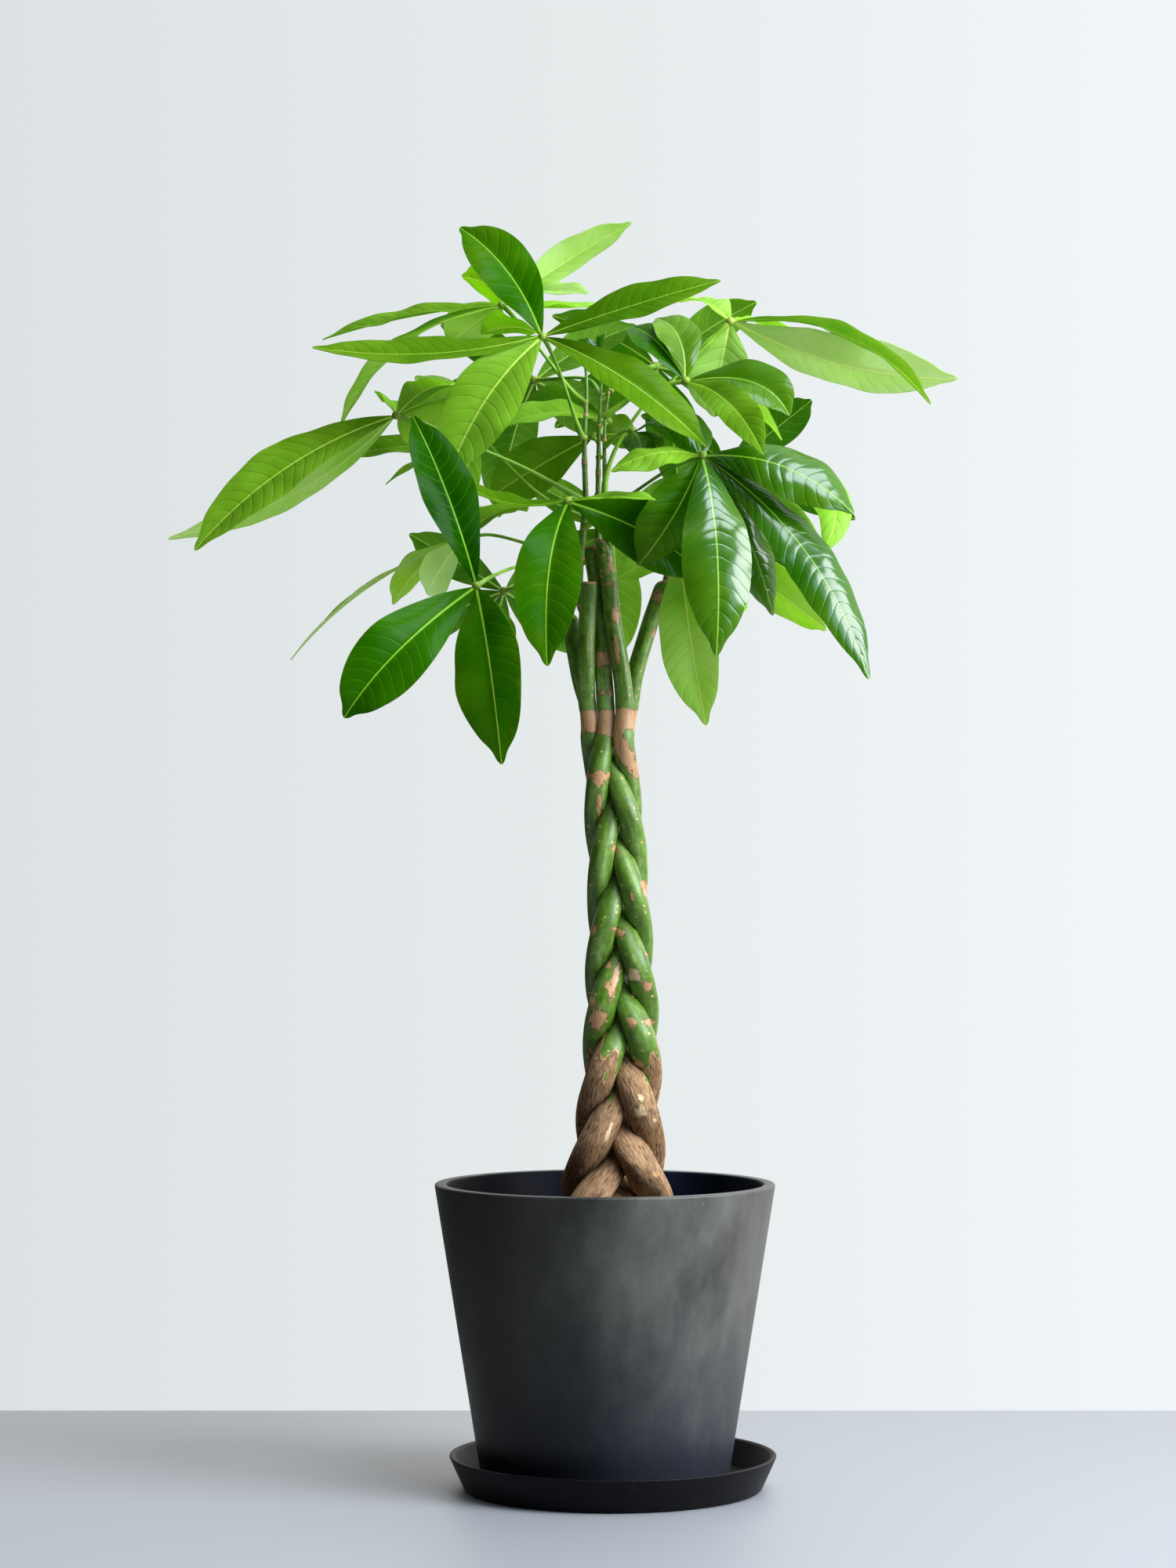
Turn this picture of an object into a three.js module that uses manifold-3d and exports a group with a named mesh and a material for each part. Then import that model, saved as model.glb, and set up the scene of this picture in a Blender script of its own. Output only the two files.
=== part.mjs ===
// A potted money tree: five canes plaited into one trunk, a crown of palmate fronds,
// a tapered round pot with soil, and a saucer.
// Millimetres, +Z up, X to the right and Y away as seen from the front.
// The origin is the centre of the saucer's underside.

import * as THREE from 'three';
import { mergeVertices } from 'three/addons/utils/BufferGeometryUtils.js';
import Module from 'manifold-3d';

const wasm = await Module();
wasm.setup();

// Driving dimensions

const SEAT_GAP = 0.3; // clearance between pieces that rest on each other
const ROUND_SIDES = 36; // sides of the pot, soil and saucer

const SAUCER_BASE_RADIUS = 130;
const SAUCER_RIM_RADIUS = 145.5;
const SAUCER_HEIGHT = 30;
const SAUCER_WALL = 5;

const POT_X = -7; // the pot stands slightly off the saucer's middle
const POT_BASE_RADIUS = 107.5;
const POT_RIM_RADIUS = 150;
const POT_HEIGHT = 261;
const POT_WALL = 11;
const POT_FLOOR = 12;
const POT_EDGE = 3; // rounding of the rim's two edges
const DRAIN_RADIUS = 9;

const SOIL_BELOW_RIM = 40;
const SOIL_MOUND = 4; // how much higher the soil is round the trunk

const POT_Z = SAUCER_WALL + SEAT_GAP;
const RIM_Z = POT_Z + POT_HEIGHT;
const SOIL_Z = RIM_Z - SOIL_BELOW_RIM;

// The trunk. Its strands swing from side to side by the reach, and pass in front of and
// behind each other by the reach in depth, which is a multiple of the strand's radius.
// height, middle in x, reach, strand radius
const TRUNK = [
  [165, 3, 33, 15.5],
  [226, 3, 33, 16.5],
  [259, 3, 32, 16.5],
  [290, 4.2, 27, 15.2],
  [324, 5.4, 23, 14],
  [379, 7.8, 21.3, 12.5],
  [445, 6.8, 19.7, 11],
  [514, 5, 16.9, 10],
  [582, 1.9, 16.4, 9.4],
  [631, -2.2, 14.5, 8.8],
  [665, -4.3, 15, 8.5],
  [700, -5, 15, 8.1],
  [760, -8, 15, 7.6],
  [840, -8, 15, 7.2],
];
const DEPTH_REACH = 1.7;
const STEM_FOOT_Z = 165; // the stems end this high, inside the soil
const PLAIT_TOP_Z = 636; // a strand crosses the middle to the right here
const PLAIT_FREEZE_Z = 248; // below this the strands go straight down
const STEPS_PER_MM = 0.01411; // strands passed per millimetre at the top of the plait
const STEPS_GROWTH = 5.16e-6; // and how that grows further down
const LOOSE_FROM_Z = 636; // above this the canes leave the plait
const LOOSE_BY_Z = 690;
const STEM_SIDES = 9;
const STEM_STEP = 13;
const STRAND_GAP = 1.3; // between strands pressed against each other

// Each stem: its strand in the plait, the route of its free cane, the slant of its cut
// top, and the route and end radii of the green shoot that grows out of it.
const STEMS = [
  {
    name: 'stem_1',
    strand: 1,
    cane: [[-20, -2, 665], [-23, -7, 700], [-23, -10, 750], [-21, -10, 793]],
    slant: 0,
    shoot: [[-22, -10, 752], [-29, -11, 780], [-29, -12, 806], [-27, -12, 830], [-24, -12, 865],
      [-25, -12, 910], [-23, -11, 962], [-25, -10, 1002]],
    shootRadii: [4, 2.6],
  },
  {
    name: 'stem_2',
    strand: 2,
    cane: [[-6, -10, 665], [-8, -5, 710], [-11, 1, 750], [-15, 6, 797], [-20, 8, 826]],
    slant: 0.2,
    shoot: [[-17, 7, 800], [-13, 12, 828], [-13, 12, 860], [-12, 10, 930], [-9, 12, 988]],
    shootRadii: [3.4, 2.2],
  },
  {
    name: 'stem_3',
    strand: 4,
    cane: [[12, -12, 665], [8, -11, 710], [0, -10, 760], [-4, -6, 797], [-8, -4, 829]],
    slant: -0.6,
    shoot: [[-7, -5, 798], [-4, -8, 824], [-6, -7, 850], [-7, -4, 880], [-7, 1, 930], [-3, 4, 966]],
    shootRadii: [3.4, 2.2],
  },
  {
    name: 'stem_4',
    strand: 3,
    cane: [[12, 8, 665], [19.5, 9, 712], [31, 8, 752], [41, 7, 782], [46, 6, 796]],
    slant: 0.3,
    shoot: [[40, 8, 776], [49, 9, 802], [54, 11, 830], [58, 14, 856]],
    shootRadii: [3.6, 2.6],
  },
  {
    name: 'stem_5',
    strand: 0,
    cane: [[-14, 8, 665], [-26, 12, 700], [-31, 15, 722], [-38, 20, 764]],
    slant: -0.2,
    shoot: [[-36, 19, 748], [-41, 26, 774], [-46, 34, 810], [-49, 39, 836]],
    shootRadii: [3.6, 2.4],
  },
];
const SHOOT_SIDES = 6;
const SHOOT_STEP = 22;

// Fronds. A petiole starts on the axis of its stem's shoot and ends at the hub. Each blade
// is its tip x, y, z, its width, the turn of its upper face from the frond's facing towards
// the sky, the arch of its middle along that face, the sway of its middle in its plane, and,
// where it isn't 0, how far its middle is shifted towards the tip. The edges of a blade with
// a fold below 0 droop.
const FRONT = [0, -1, 0];
const FRONDS = [
  {
    // front of the crown's top
    stem: 'stem_1',
    petiole: [[-24, -12, 919], [-29, -16, 925], [-45, -36, 970], [-55, -52, 992], [-61, -60, 1002]],
    blades: [
      [-133, -50, 1098, 50, 15, 12, 6],
      [92, -80, 1047, 42, 42, 10, -9],
      [-258, -90, 988, 42, 52, -4, -14],
      [-141, -100, 879, 60, 8, 16, 6],
      [79, -105, 901, 46, 36, 10, 3],
      [-117, 45, 1018, 40, 100, 8, 0],
    ],
  },
  {
    // top left, behind the first
    stem: 'stem_1',
    petiole: [[-23, -11, 950], [-36, -4, 962], [-58, 6, 992], [-82, 15, 1024], [-98, 20, 1042]],
    blades: [
      [17, 30, 1117, 38, 130, 12, 8],
      [-258, 30, 1012, 46, 70, 5, 0],
      [-237, -30, 929, 36, 65, 20, 16],
      [-151, 120, 1020, 46, 140, 3, 0],
      [-137, 110, 1082, 44, 120, 10, 0],
      [-21, -40, 1042, 36, 65, 6, 0],
      [-4, 40, 1045, 36, 75, -3, 0],
    ],
  },
  {
    // right
    stem: 'stem_3',
    petiole: [[-7, -5, 865], [-6, -4, 886], [5, -2, 916], [30, 1, 953], [56, 3, 976], [104, 5, 1025]],
    blades: [
      [277, -30, 947, 40, 65, 25, 10],
      [306, 20, 976, 62, 130, -6, 12],
      [90, 25, 943, 60, 10, 6, 0],
      [62, 90, 1055, 40, 60, 8, 0],
      [170, 110, 1008, 40, 90, 12, 0],
    ],
  },
  {
    // glossy front right
    stem: 'stem_1',
    petiole: [[-26, -12, 840], [-7, -30, 851], [15, -55, 865], [49, -82, 885], [76, -95, 895]],
    fold: -0.2,
    blades: [
      [203, -125, 842, 52, 30, 14, 9],
      [216, -120, 702, 46, 25, 20, 13],
      [86, -150, 720, 60, 8, 22, 3],
      [21, -88, 801, 54, -30, 10, 0],
      [-2, -130, 877, 34, 50, 10, 0],
      [180, -60, 825, 40, 40, 6, 0],
      [137, -80, 759, 44, 30, 12, 0],
      [177, -95, 808, 36, 20, 5, 50, 25],
    ],
  },
  {
    // low front left
    stem: 'stem_1',
    petiole: [[-29, -12, 806], [-56, -30, 808], [-84, -60, 802], [-104, -84, 792], [-117, -95, 783]],
    blades: [
      [-172, -80, 929, 50, 25, 14, -2],
      [-226, -150, 668, 60, 5, 22, 4, 14],
      [-94, -150, 629, 64, -25, 22, 13],
      [-102, -10, 722, 40, 20, 10, 0],
    ],
  },
  {
    // front middle
    stem: 'stem_1',
    petiole: [[-25, -12, 854], [-30, -36, 862], [-36, -62, 862], [-39, -80, 857]],
    blades: [
      [-56, -140, 712, 57, 5, 24, 6],
      [-136, -90, 878, 30, 65, -10, -9],
      [34, -150, 851, 30, 72, 2, 0],
      [80, -62, 796, 58, 10, 10, 5],
    ],
  },
  {
    // left
    stem: 'stem_1',
    petiole: [[-25, -12, 864], [-71, -22, 889], [-114, -34, 907], [-188, -50, 935]],
    blades: [
      [-356, -110, 812, 50, 30, 10, 11],
      [-389, -20, 830, 28, 140, 12, 28],
      [-134, -8, 918, 56, 150, 8, 0],
      [-108, -10, 955, 40, 60, 6, 0],
      [-137, -120, 952, 36, 110, 8, 0],
      [-205, 40, 958, 32, 20, 6, 0],
    ],
  },
  {
    // left, behind
    stem: 'stem_2',
    petiole: [[-13, 12, 846], [-62, 16, 871], [-99, 23, 906], [-112, 26, 920], [-118, 30, 919]],
    blades: [
      [-246, 0, 904, 36, 55, 4, 0],
      [-152, 10, 845, 36, 5, 8, 0],
      [-175, 20, 978, 38, 20, 8, 0],
      [-201, 20, 882, 20, 70, 6, 0],
    ],
  },
  {
    // low left, behind
    stem: 'stem_5',
    petiole: [[-46, 35, 815], [-60, 38, 824], [-78, 42, 832], [-110, 48, 840], [-134, 50, 836]],
    blades: [
      [-285, 20, 726, 30, 85, 13, 0],
      [-199, 110, 782, 40, 120, 10, 0],
      [-163, 0, 783, 36, 150, 6, 0],
      [-78, 120, 868, 44, 60, 10, 0],
    ],
  },
  {
    // low right, under the crown
    stem: 'stem_4',
    petiole: [[51, 10, 812], [55, -4, 822], [59, -20, 822]],
    blades: [
      [80, -70, 665, 54, -22, 18, 4],
      [69, 50, 737, 44, 20, 10, 0],
      [118, 10, 770, 40, 30, 10, 0],
    ],
  },
  {
    // right, behind
    stem: 'stem_4',
    petiole: [[54, 12, 834], [66, 28, 842], [79, 50, 832]],
    blades: [
      [189, 20, 753, 46, 140, 14, 6],
      [5, 60, 802, 40, 40, 5, 0],
      [150, 96, 790, 44, 60, 10, 0],
    ],
  },
  {
    // right of the middle
    stem: 'stem_3',
    petiole: [[-6, 2, 941], [14, -8, 954], [40, -18, 964], [64, -25, 968]],
    blades: [
      [152, -70, 932, 46, 35, 14, 10, 8],
      [126, -140, 890, 36, 20, 12, 6],
      [148, -15, 917, 30, 60, 12, 0],
      [17, 40, 1025, 44, 30, 10, 0],
      [39, 30, 1031, 40, 20, 12, 6],
    ],
  },
  {
    // young frond at the top of a shoot
    stem: 'stem_2',
    petiole: [[-9, 12, 976], [-12, 4, 984], [-10, -2, 994]],
    blades: [
      [-31, -10, 1007, 12, 30, 3, 0],
      [-6, -4, 1012, 16, 60, 3, 0],
    ],
  },
  {
    // bright leaf behind the shoots
    stem: 'stem_2',
    petiole: [[-12, 10, 905], [-12, 20, 916], [-17, 28, 926]],
    blades: [
      [-111, 60, 874, 50, 10, 6, 0],
      [24, 50, 926, 40, 30, 5, 0],
    ],
  },
  {
    // middle, behind the shoots
    stem: 'stem_2',
    petiole: [[-12, 10, 924], [-9, 18, 932], [-4, 26, 939]],
    blades: [
      [-101, 8, 929, 44, 60, 12, 0],
      [-79, 70, 960, 40, 110, 10, 0],
    ],
  },
  {
    // small, right of the shoots
    stem: 'stem_3',
    petiole: [[-7, -2, 914], [8, -16, 924], [17, -35, 923]],
    fold: -0.2,
    blades: [
      [75, -90, 891, 46, 55, 24, 12],
      [26, -86, 890, 28, 20, 6, 0],
      [45, -74, 898, 28, 30, 6, 0],
    ],
  },
];

// Fronds on the far side. Their blades spread from the hub by a rule, facing outwards.
const FAR_FRONDS = [
  {
    stem: 'stem_2',
    petiole: [[-9, 12, 958], [-24, 48, 980], [-70, 95, 985]],
    facing: [-0.3, 0.8, 0.5],
    reach: 150,
  },
  {
    stem: 'stem_3',
    petiole: [[-3, 4, 962], [12, 48, 985], [40, 110, 1000]],
    facing: [0.2, 0.8, 0.5],
    reach: 150,
  },
  {
    stem: 'stem_4',
    petiole: [[57, 13, 850], [76, 48, 880], [104, 88, 906]],
    facing: [0.5, 0.7, 0.4],
    reach: 145,
  },
  {
    stem: 'stem_5',
    petiole: [[-43, 29, 790], [-62, 66, 800], [-98, 104, 794]],
    facing: [-0.3, 0.9, 0.3],
    reach: 140,
  },
  {
    stem: 'stem_2',
    petiole: [[-13, 12, 872], [-4, 60, 878], [0, 120, 852]],
    facing: [0.1, 0.9, 0.3],
    reach: 130,
  },
];
const FAR_SPREAD = [0, 58, -58, 118, -118]; // degrees from straight down
const FAR_SHORTER = 0.14; // each pair is this much shorter than the one before
const FAR_WIDTH = 0.34; // of a blade's length
const FAR_ARCH = 0.1; // of a blade's length
const FAR_LIFT = 0.18; // of a blade's length, outwards

// A blade's build
const BLADE_THICK = 0.8;
const BLADE_STATIONS = [0, 0.17, 0.38, 0.62, 0.84, 1];
const BLADE_FULLEST = 1.2; // moves the widest place towards the tip
const BLADE_FULL = 0.8; // lower is fuller
const BLADE_ROOT_HALF = 1.2;
const ROOT_OFFSET = 2.6; // from the hub's centre, inside the hub
const BLADE_TIP_HALF = 0.8;
const BLADE_FOLD = 0.22; // how far the edges rise, of the half width, unless the frond says so
const BLADE_WAVE = 2.2; // height of the waves along the edges
const WAVES = 2.4; // waves along one edge
const HUB_RADIUS = 4;
const PETIOLE_RADII = [3.2, 1.9, 1.6, 1.7, 2.4];
const PETIOLE_SIDES = 5;
const PETIOLE_STEP = 32;

// A blade that would touch another piece has its tip moved by the first of these depths
// that clears it.
const BENDS = [0, 12, -12, 24, -24, 36, -36, 48, -48, 60, -60, 72, -72, 84, -84];
const CLEARANCE = 0.4;
const ROOT_SHARE = 0.24; // the stretch at the root where a frond's own blades may meet

// Helpers

function vec(p) {
  return new THREE.Vector3(p[0], p[1], p[2]);
}

// A repeatable random number from 0 to 1.
let seed = 20250;
function random() {
  seed = (seed * 48271) % 2147483647;
  return seed / 2147483647;
}

function indexed(positions, faces) {
  const geometry = new THREE.BufferGeometry();
  geometry.setAttribute('position', new THREE.Float32BufferAttribute(positions, 3));
  geometry.setIndex(faces);
  return geometry;
}

function solidOf(geometry) {
  const bare = geometry.clone();
  bare.deleteAttribute('normal');
  bare.deleteAttribute('uv');
  const merged = mergeVertices(bare, 1e-4);
  return new wasm.Manifold(
    new wasm.Mesh({
      numProp: 3,
      vertProperties: new Float32Array(merged.attributes.position.array),
      triVerts: new Uint32Array(merged.index.array),
    }),
  );
}

function geometryOf(solid) {
  const mesh = solid.getMesh();
  const geometry = indexed(Array.from(mesh.vertProperties), Array.from(mesh.triVerts));
  geometry.computeVertexNormals();
  return geometry;
}

// Keeps the largest body of a solid that a cut has left in scraps.
function largest(solid) {
  const bodies = solid.decompose();
  let best = bodies[0];
  for (const body of bodies) {
    if (body.volume() > best.volume()) best = body;
  }
  return best;
}

// A closed body through rings of equal count, each counterclockwise seen from its far end.
function loft(rings) {
  const count = rings[0].length;
  const positions = [];
  const faces = [];
  for (const ring of rings) {
    for (const p of ring) positions.push(p.x, p.y, p.z);
  }
  for (let i = 0; i + 1 < rings.length; i += 1) {
    for (let k = 0; k < count; k += 1) {
      const a = i * count + k;
      const b = i * count + ((k + 1) % count);
      faces.push(a, b, b + count, a, b + count, a + count);
    }
  }
  const last = (rings.length - 1) * count;
  for (let k = 1; k + 1 < count; k += 1) {
    faces.push(0, k + 1, k);
    faces.push(last, last + k, last + k + 1);
  }
  return indexed(positions, faces);
}

// A row of a table at height z, smoothly between its rows. Column 0 is the height.
function tableAt(table, z) {
  const top = table.length - 1;
  let i = 0;
  while (i < top - 1 && z > table[i + 1][0]) i += 1;
  const before = table[Math.max(i - 1, 0)];
  const low = table[i];
  const high = table[i + 1];
  const after = table[Math.min(i + 2, top)];
  const span = high[0] - low[0];
  const t = THREE.MathUtils.clamp((z - low[0]) / span, 0, 1);
  return low.map((value, column) => {
    const slopeLow = ((high[column] - before[column]) / (high[0] - before[0])) * span;
    const slopeHigh = ((after[column] - value) / (after[0] - low[0])) * span;
    const t2 = t * t;
    const t3 = t2 * t;
    return (2 * t3 - 3 * t2 + 1) * value + (t3 - 2 * t2 + t) * slopeLow
      + (3 * t2 - 2 * t3) * high[column] + (t3 - t2) * slopeHigh;
  });
}

// A round tube along a smooth route, with radii spread evenly along it.
function tube(route, radii, sides, step) {
  const curve = new THREE.CatmullRomCurve3(route.map(vec), false, 'catmullrom', 0.5);
  const steps = Math.max(3, Math.round(curve.getLength() / step));
  const frames = curve.computeFrenetFrames(steps, false);
  const rings = [];
  for (let i = 0; i <= steps; i += 1) {
    const centre = curve.getPointAt(i / steps);
    const along = (i / steps) * (radii.length - 1);
    const first = Math.min(Math.floor(along), radii.length - 2);
    const radius = THREE.MathUtils.lerp(radii[first], radii[first + 1], along - first);
    const ring = [];
    for (let k = 0; k < sides; k += 1) {
      const angle = (k / sides) * 2 * Math.PI;
      const p = centre.clone();
      p.addScaledVector(frames.normals[i], radius * Math.cos(angle));
      p.addScaledVector(frames.binormals[i], radius * Math.sin(angle));
      ring.push(p);
    }
    rings.push(ring);
  }
  return loft(rings);
}

function latheOf(profile, x) {
  const points = profile.map((p) => new THREE.Vector2(p[0], p[1]));
  const geometry = new THREE.LatheGeometry(points, ROUND_SIDES);
  geometry.rotateX(Math.PI / 2);
  geometry.translate(x, 0, 0);
  return geometry;
}

// Pot, soil and saucer

// The pot's outer radius at a height above its foot.
function potRadius(height) {
  return THREE.MathUtils.lerp(POT_BASE_RADIUS, POT_RIM_RADIUS, height / POT_HEIGHT);
}

function saucer() {
  const inner = SAUCER_RIM_RADIUS - SAUCER_WALL;
  const floorRadius = SAUCER_BASE_RADIUS - SAUCER_WALL;
  const lip = SAUCER_WALL / 2;
  return latheOf([
    [0, 0],
    [SAUCER_BASE_RADIUS - 3, 0],
    [SAUCER_BASE_RADIUS, 3],
    [SAUCER_RIM_RADIUS - 1, SAUCER_HEIGHT - lip],
    [SAUCER_RIM_RADIUS - 1, SAUCER_HEIGHT - lip / 2],
    [SAUCER_RIM_RADIUS - lip, SAUCER_HEIGHT],
    [inner + 1, SAUCER_HEIGHT - lip / 2],
    [floorRadius + 3, SAUCER_WALL + 4],
    [floorRadius - 2, SAUCER_WALL],
    [0, SAUCER_WALL],
  ], 0);
}

function pot() {
  const insideFoot = potRadius(POT_FLOOR) - POT_WALL;
  return latheOf([
    [DRAIN_RADIUS, POT_Z],
    [POT_BASE_RADIUS - 4, POT_Z],
    [potRadius(4), POT_Z + 4],
    [potRadius(POT_HEIGHT - POT_EDGE), RIM_Z - POT_EDGE],
    [POT_RIM_RADIUS - POT_EDGE / 2, RIM_Z],
    [POT_RIM_RADIUS - POT_WALL + POT_EDGE / 2, RIM_Z],
    [potRadius(POT_HEIGHT - POT_EDGE) - POT_WALL, RIM_Z - POT_EDGE],
    [insideFoot, POT_Z + POT_FLOOR],
    [DRAIN_RADIUS, POT_Z + POT_FLOOR],
    [DRAIN_RADIUS, POT_Z],
  ], POT_X);
}

function soil(stemSolids) {
  const floorZ = POT_Z + POT_FLOOR + SEAT_GAP;
  const wallGap = POT_WALL + SEAT_GAP;
  const surface = potRadius(SOIL_Z - POT_Z) - wallGap;
  let body = solidOf(latheOf([
    [0, floorZ],
    [potRadius(POT_FLOOR + SEAT_GAP) - wallGap, floorZ],
    [surface, SOIL_Z],
    [surface * 0.72, SOIL_Z + SOIL_MOUND * 0.3],
    [surface * 0.4, SOIL_Z + SOIL_MOUND],
    [0, SOIL_Z + SOIL_MOUND],
  ], POT_X));
  for (const grown of stemSolids) body = body.subtract(grown);
  return largest(body);
}

// Stems

function smooth(from, to, value) {
  const t = THREE.MathUtils.clamp((value - from) / (to - from), 0, 1);
  return t * t * (3 - 2 * t);
}

function stemTop(stem) {
  return stem.cane[stem.cane.length - 1][2];
}

// The centre and radius of a stem's cane at height z.
function caneAt(stem, z) {
  const [, middle, reach, radius] = tableAt(TRUNK, z);
  const down = PLAIT_TOP_Z - Math.max(z, PLAIT_FREEZE_Z);
  const passed = STEPS_PER_MM * down + STEPS_GROWTH * down * Math.abs(down);
  const turn = Math.PI + ((stem.strand - passed) * 2 * Math.PI) / STEMS.length;
  const loose = smooth(LOOSE_FROM_Z, LOOSE_BY_Z, z);
  const route = stem.cane.map((p) => [p[2], p[0], p[1]]);
  const [, looseX, looseY] = tableAt(route, z);
  return {
    x: THREE.MathUtils.lerp(middle + reach * Math.sin(turn), looseX, loose),
    y: THREE.MathUtils.lerp(DEPTH_REACH * radius * Math.sin(2 * turn), looseY, loose),
    radius,
  };
}

// How far a cane reaches at height z in a direction, with its neighbours pressing on it.
function caneReach(stem, z, angle) {
  const own = caneAt(stem, z);
  let reach = own.radius;
  for (const other of STEMS) {
    if (other === stem || stemTop(other) + STEM_STEP < z) continue;
    const there = caneAt(other, z);
    const apart = Math.hypot(there.x - own.x, there.y - own.y);
    const towards = Math.cos(angle - Math.atan2(there.y - own.y, there.x - own.x));
    if (towards > 0) reach = Math.min(reach, (apart - STRAND_GAP) / 2 / towards);
  }
  return reach;
}

// A level section of a cane. It is as slim as the cane gets within a step up or down, so
// that the straight facets between two sections stay clear of the neighbours too.
function caneRing(stem, z, grow) {
  const own = caneAt(stem, z);
  const ring = [];
  for (let k = 0; k < STEM_SIDES; k += 1) {
    const angle = (k / STEM_SIDES) * 2 * Math.PI;
    let radius = Infinity;
    for (let near = -1; near <= 1; near += 0.25) {
      radius = Math.min(radius, caneReach(stem, z + near * STEM_STEP, angle) + grow);
    }
    ring.push(new THREE.Vector3(
      own.x + radius * Math.cos(angle),
      own.y + radius * Math.sin(angle),
      z,
    ));
  }
  return ring;
}

function caneBody(stem, grow) {
  const top = stemTop(stem);
  const rings = [caneRing(stem, STEM_FOOT_Z - grow, grow)];
  for (let z = PLAIT_FREEZE_Z - STEM_STEP; z < top - STEM_STEP / 3; z += STEM_STEP) {
    rings.push(caneRing(stem, z, grow));
  }
  const middle = caneAt(stem, top);
  const cut = caneRing(stem, top, grow);
  for (const p of cut) p.z += stem.slant * (p.x - middle.x);
  rings.push(cut);
  return solidOf(loft(rings));
}

function stemBody(stem, grow) {
  const radii = stem.shootRadii.map((r) => r + grow);
  return caneBody(stem, grow).add(solidOf(tube(stem.shoot, radii, SHOOT_SIDES, SHOOT_STEP)));
}

// Fronds

// Lays out a blade from its root to its tip: its middle line, its upper face and its side.
function bladeLayout(hub, blade, facing, bend) {
  const [x, y, z, width, turnDegrees, arch, sway, lead = 0] = blade;
  const root = hub.clone();
  const tip = new THREE.Vector3(x, y + bend, z);
  const chord = tip.clone().sub(root).normalize();
  const seen = Math.abs(chord.dot(facing)) > 0.92 ? new THREE.Vector3(0, 0, 1) : facing;
  const face = seen.clone().addScaledVector(chord, -seen.dot(chord)).normalize();
  const aside = chord.clone().cross(face);
  const upright = Math.abs(aside.z) > 0.05 ? aside.z : aside.x;
  if (upright < 0) aside.negate();
  const turn = THREE.MathUtils.degToRad(turnDegrees);
  const normal = face.clone().multiplyScalar(Math.cos(turn)).addScaledVector(aside, Math.sin(turn));
  const swayWay = face.multiplyScalar(-Math.sin(turn)).addScaledVector(aside, Math.cos(turn));
  root.addScaledVector(chord, ROOT_OFFSET);
  const middle = root.clone().lerp(tip, 0.5);
  middle.addScaledVector(normal, 2 * arch).addScaledVector(swayWay, 2 * sway);
  middle.addScaledVector(chord, 2 * lead);
  return { line: new THREE.QuadraticBezierCurve3(root, middle, tip), normal, width };
}

function bladeHalfWidth(width, s) {
  const swell = Math.sin(Math.PI * s ** BLADE_FULLEST);
  const ends = THREE.MathUtils.lerp(BLADE_ROOT_HALF, BLADE_TIP_HALF, s);
  return ends + (width / 2 - ends) * Math.max(swell, 0) ** BLADE_FULL;
}

// A thin closed blade. Both faces have the same triangles, so they never cross.
function bladeBody(layout, fold, phases, from, thick) {
  const positions = [];
  const upper = [];
  const lower = [];
  const faces = [];
  for (const station of BLADE_STATIONS) {
    const s = from + (1 - from) * station;
    const centre = layout.line.getPoint(s);
    const along = layout.line.getTangent(s);
    const normal = layout.normal.clone().addScaledVector(along, -layout.normal.dot(along)).normalize();
    const side = normal.clone().cross(along);
    const half = bladeHalfWidth(layout.width, s);
    for (const column of [-1, 0, 1]) {
      const wave = Math.sin(2 * Math.PI * WAVES * s + phases[column < 0 ? 0 : 1]);
      const ripple = BLADE_WAVE * (layout.width / 60) * Math.sin(Math.PI * s) * wave;
      const rise = Math.abs(column) * (fold * half + ripple);
      const p = centre.clone().addScaledVector(side, column * half).addScaledVector(normal, rise);
      upper.push(positions.length / 3);
      p.addScaledVector(normal, thick / 2);
      positions.push(p.x, p.y, p.z);
      lower.push(positions.length / 3);
      p.addScaledVector(normal, -thick);
      positions.push(p.x, p.y, p.z);
    }
  }
  const quad = (a, b, c, d) => faces.push(a, b, c, a, c, d);
  const rows = BLADE_STATIONS.length;
  for (let i = 0; i + 1 < rows; i += 1) {
    for (let k = 0; k < 2; k += 1) {
      const a = i * 3 + k;
      quad(upper[a], upper[a + 3], upper[a + 4], upper[a + 1]);
      faces.push(lower[a], lower[a + 4], lower[a + 3], lower[a], lower[a + 1], lower[a + 4]);
    }
    const left = i * 3;
    const right = i * 3 + 2;
    quad(upper[left], lower[left], lower[left + 3], upper[left + 3]);
    quad(upper[right], upper[right + 3], lower[right + 3], lower[right]);
  }
  const end = (rows - 1) * 3;
  for (let k = 0; k < 2; k += 1) {
    quad(upper[k], upper[k + 1], lower[k + 1], lower[k]);
    quad(upper[end + k], lower[end + k], lower[end + k + 1], upper[end + k + 1]);
  }
  return solidOf(indexed(positions, faces));
}

function boxesMeet(a, b) {
  const one = a.boundingBox();
  const two = b.boundingBox();
  return [0, 1, 2].every((i) => one.min[i] <= two.max[i] && two.min[i] <= one.max[i]);
}

function crosses(body, others) {
  return others.some((other) => boxesMeet(body, other) && !body.intersect(other).isEmpty());
}

// The blades of a far frond: tips spread round the hub, the lowest one longest.
function fanBlades(hub, facing, reach) {
  const down = new THREE.Vector3(0, 0, -1);
  down.addScaledVector(facing, -down.dot(facing)).normalize();
  const across = facing.clone().cross(down);
  return FAR_SPREAD.map((degrees, i) => {
    const length = reach * (1 - FAR_SHORTER * Math.ceil(i / 2));
    const angle = THREE.MathUtils.degToRad(degrees);
    const tip = hub.clone();
    tip.addScaledVector(down, length * Math.cos(angle));
    tip.addScaledVector(across, length * Math.sin(angle));
    tip.addScaledVector(facing, length * FAR_LIFT);
    return [tip.x, tip.y, tip.z, length * FAR_WIDTH, 0, length * FAR_ARCH, 0];
  });
}

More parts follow.
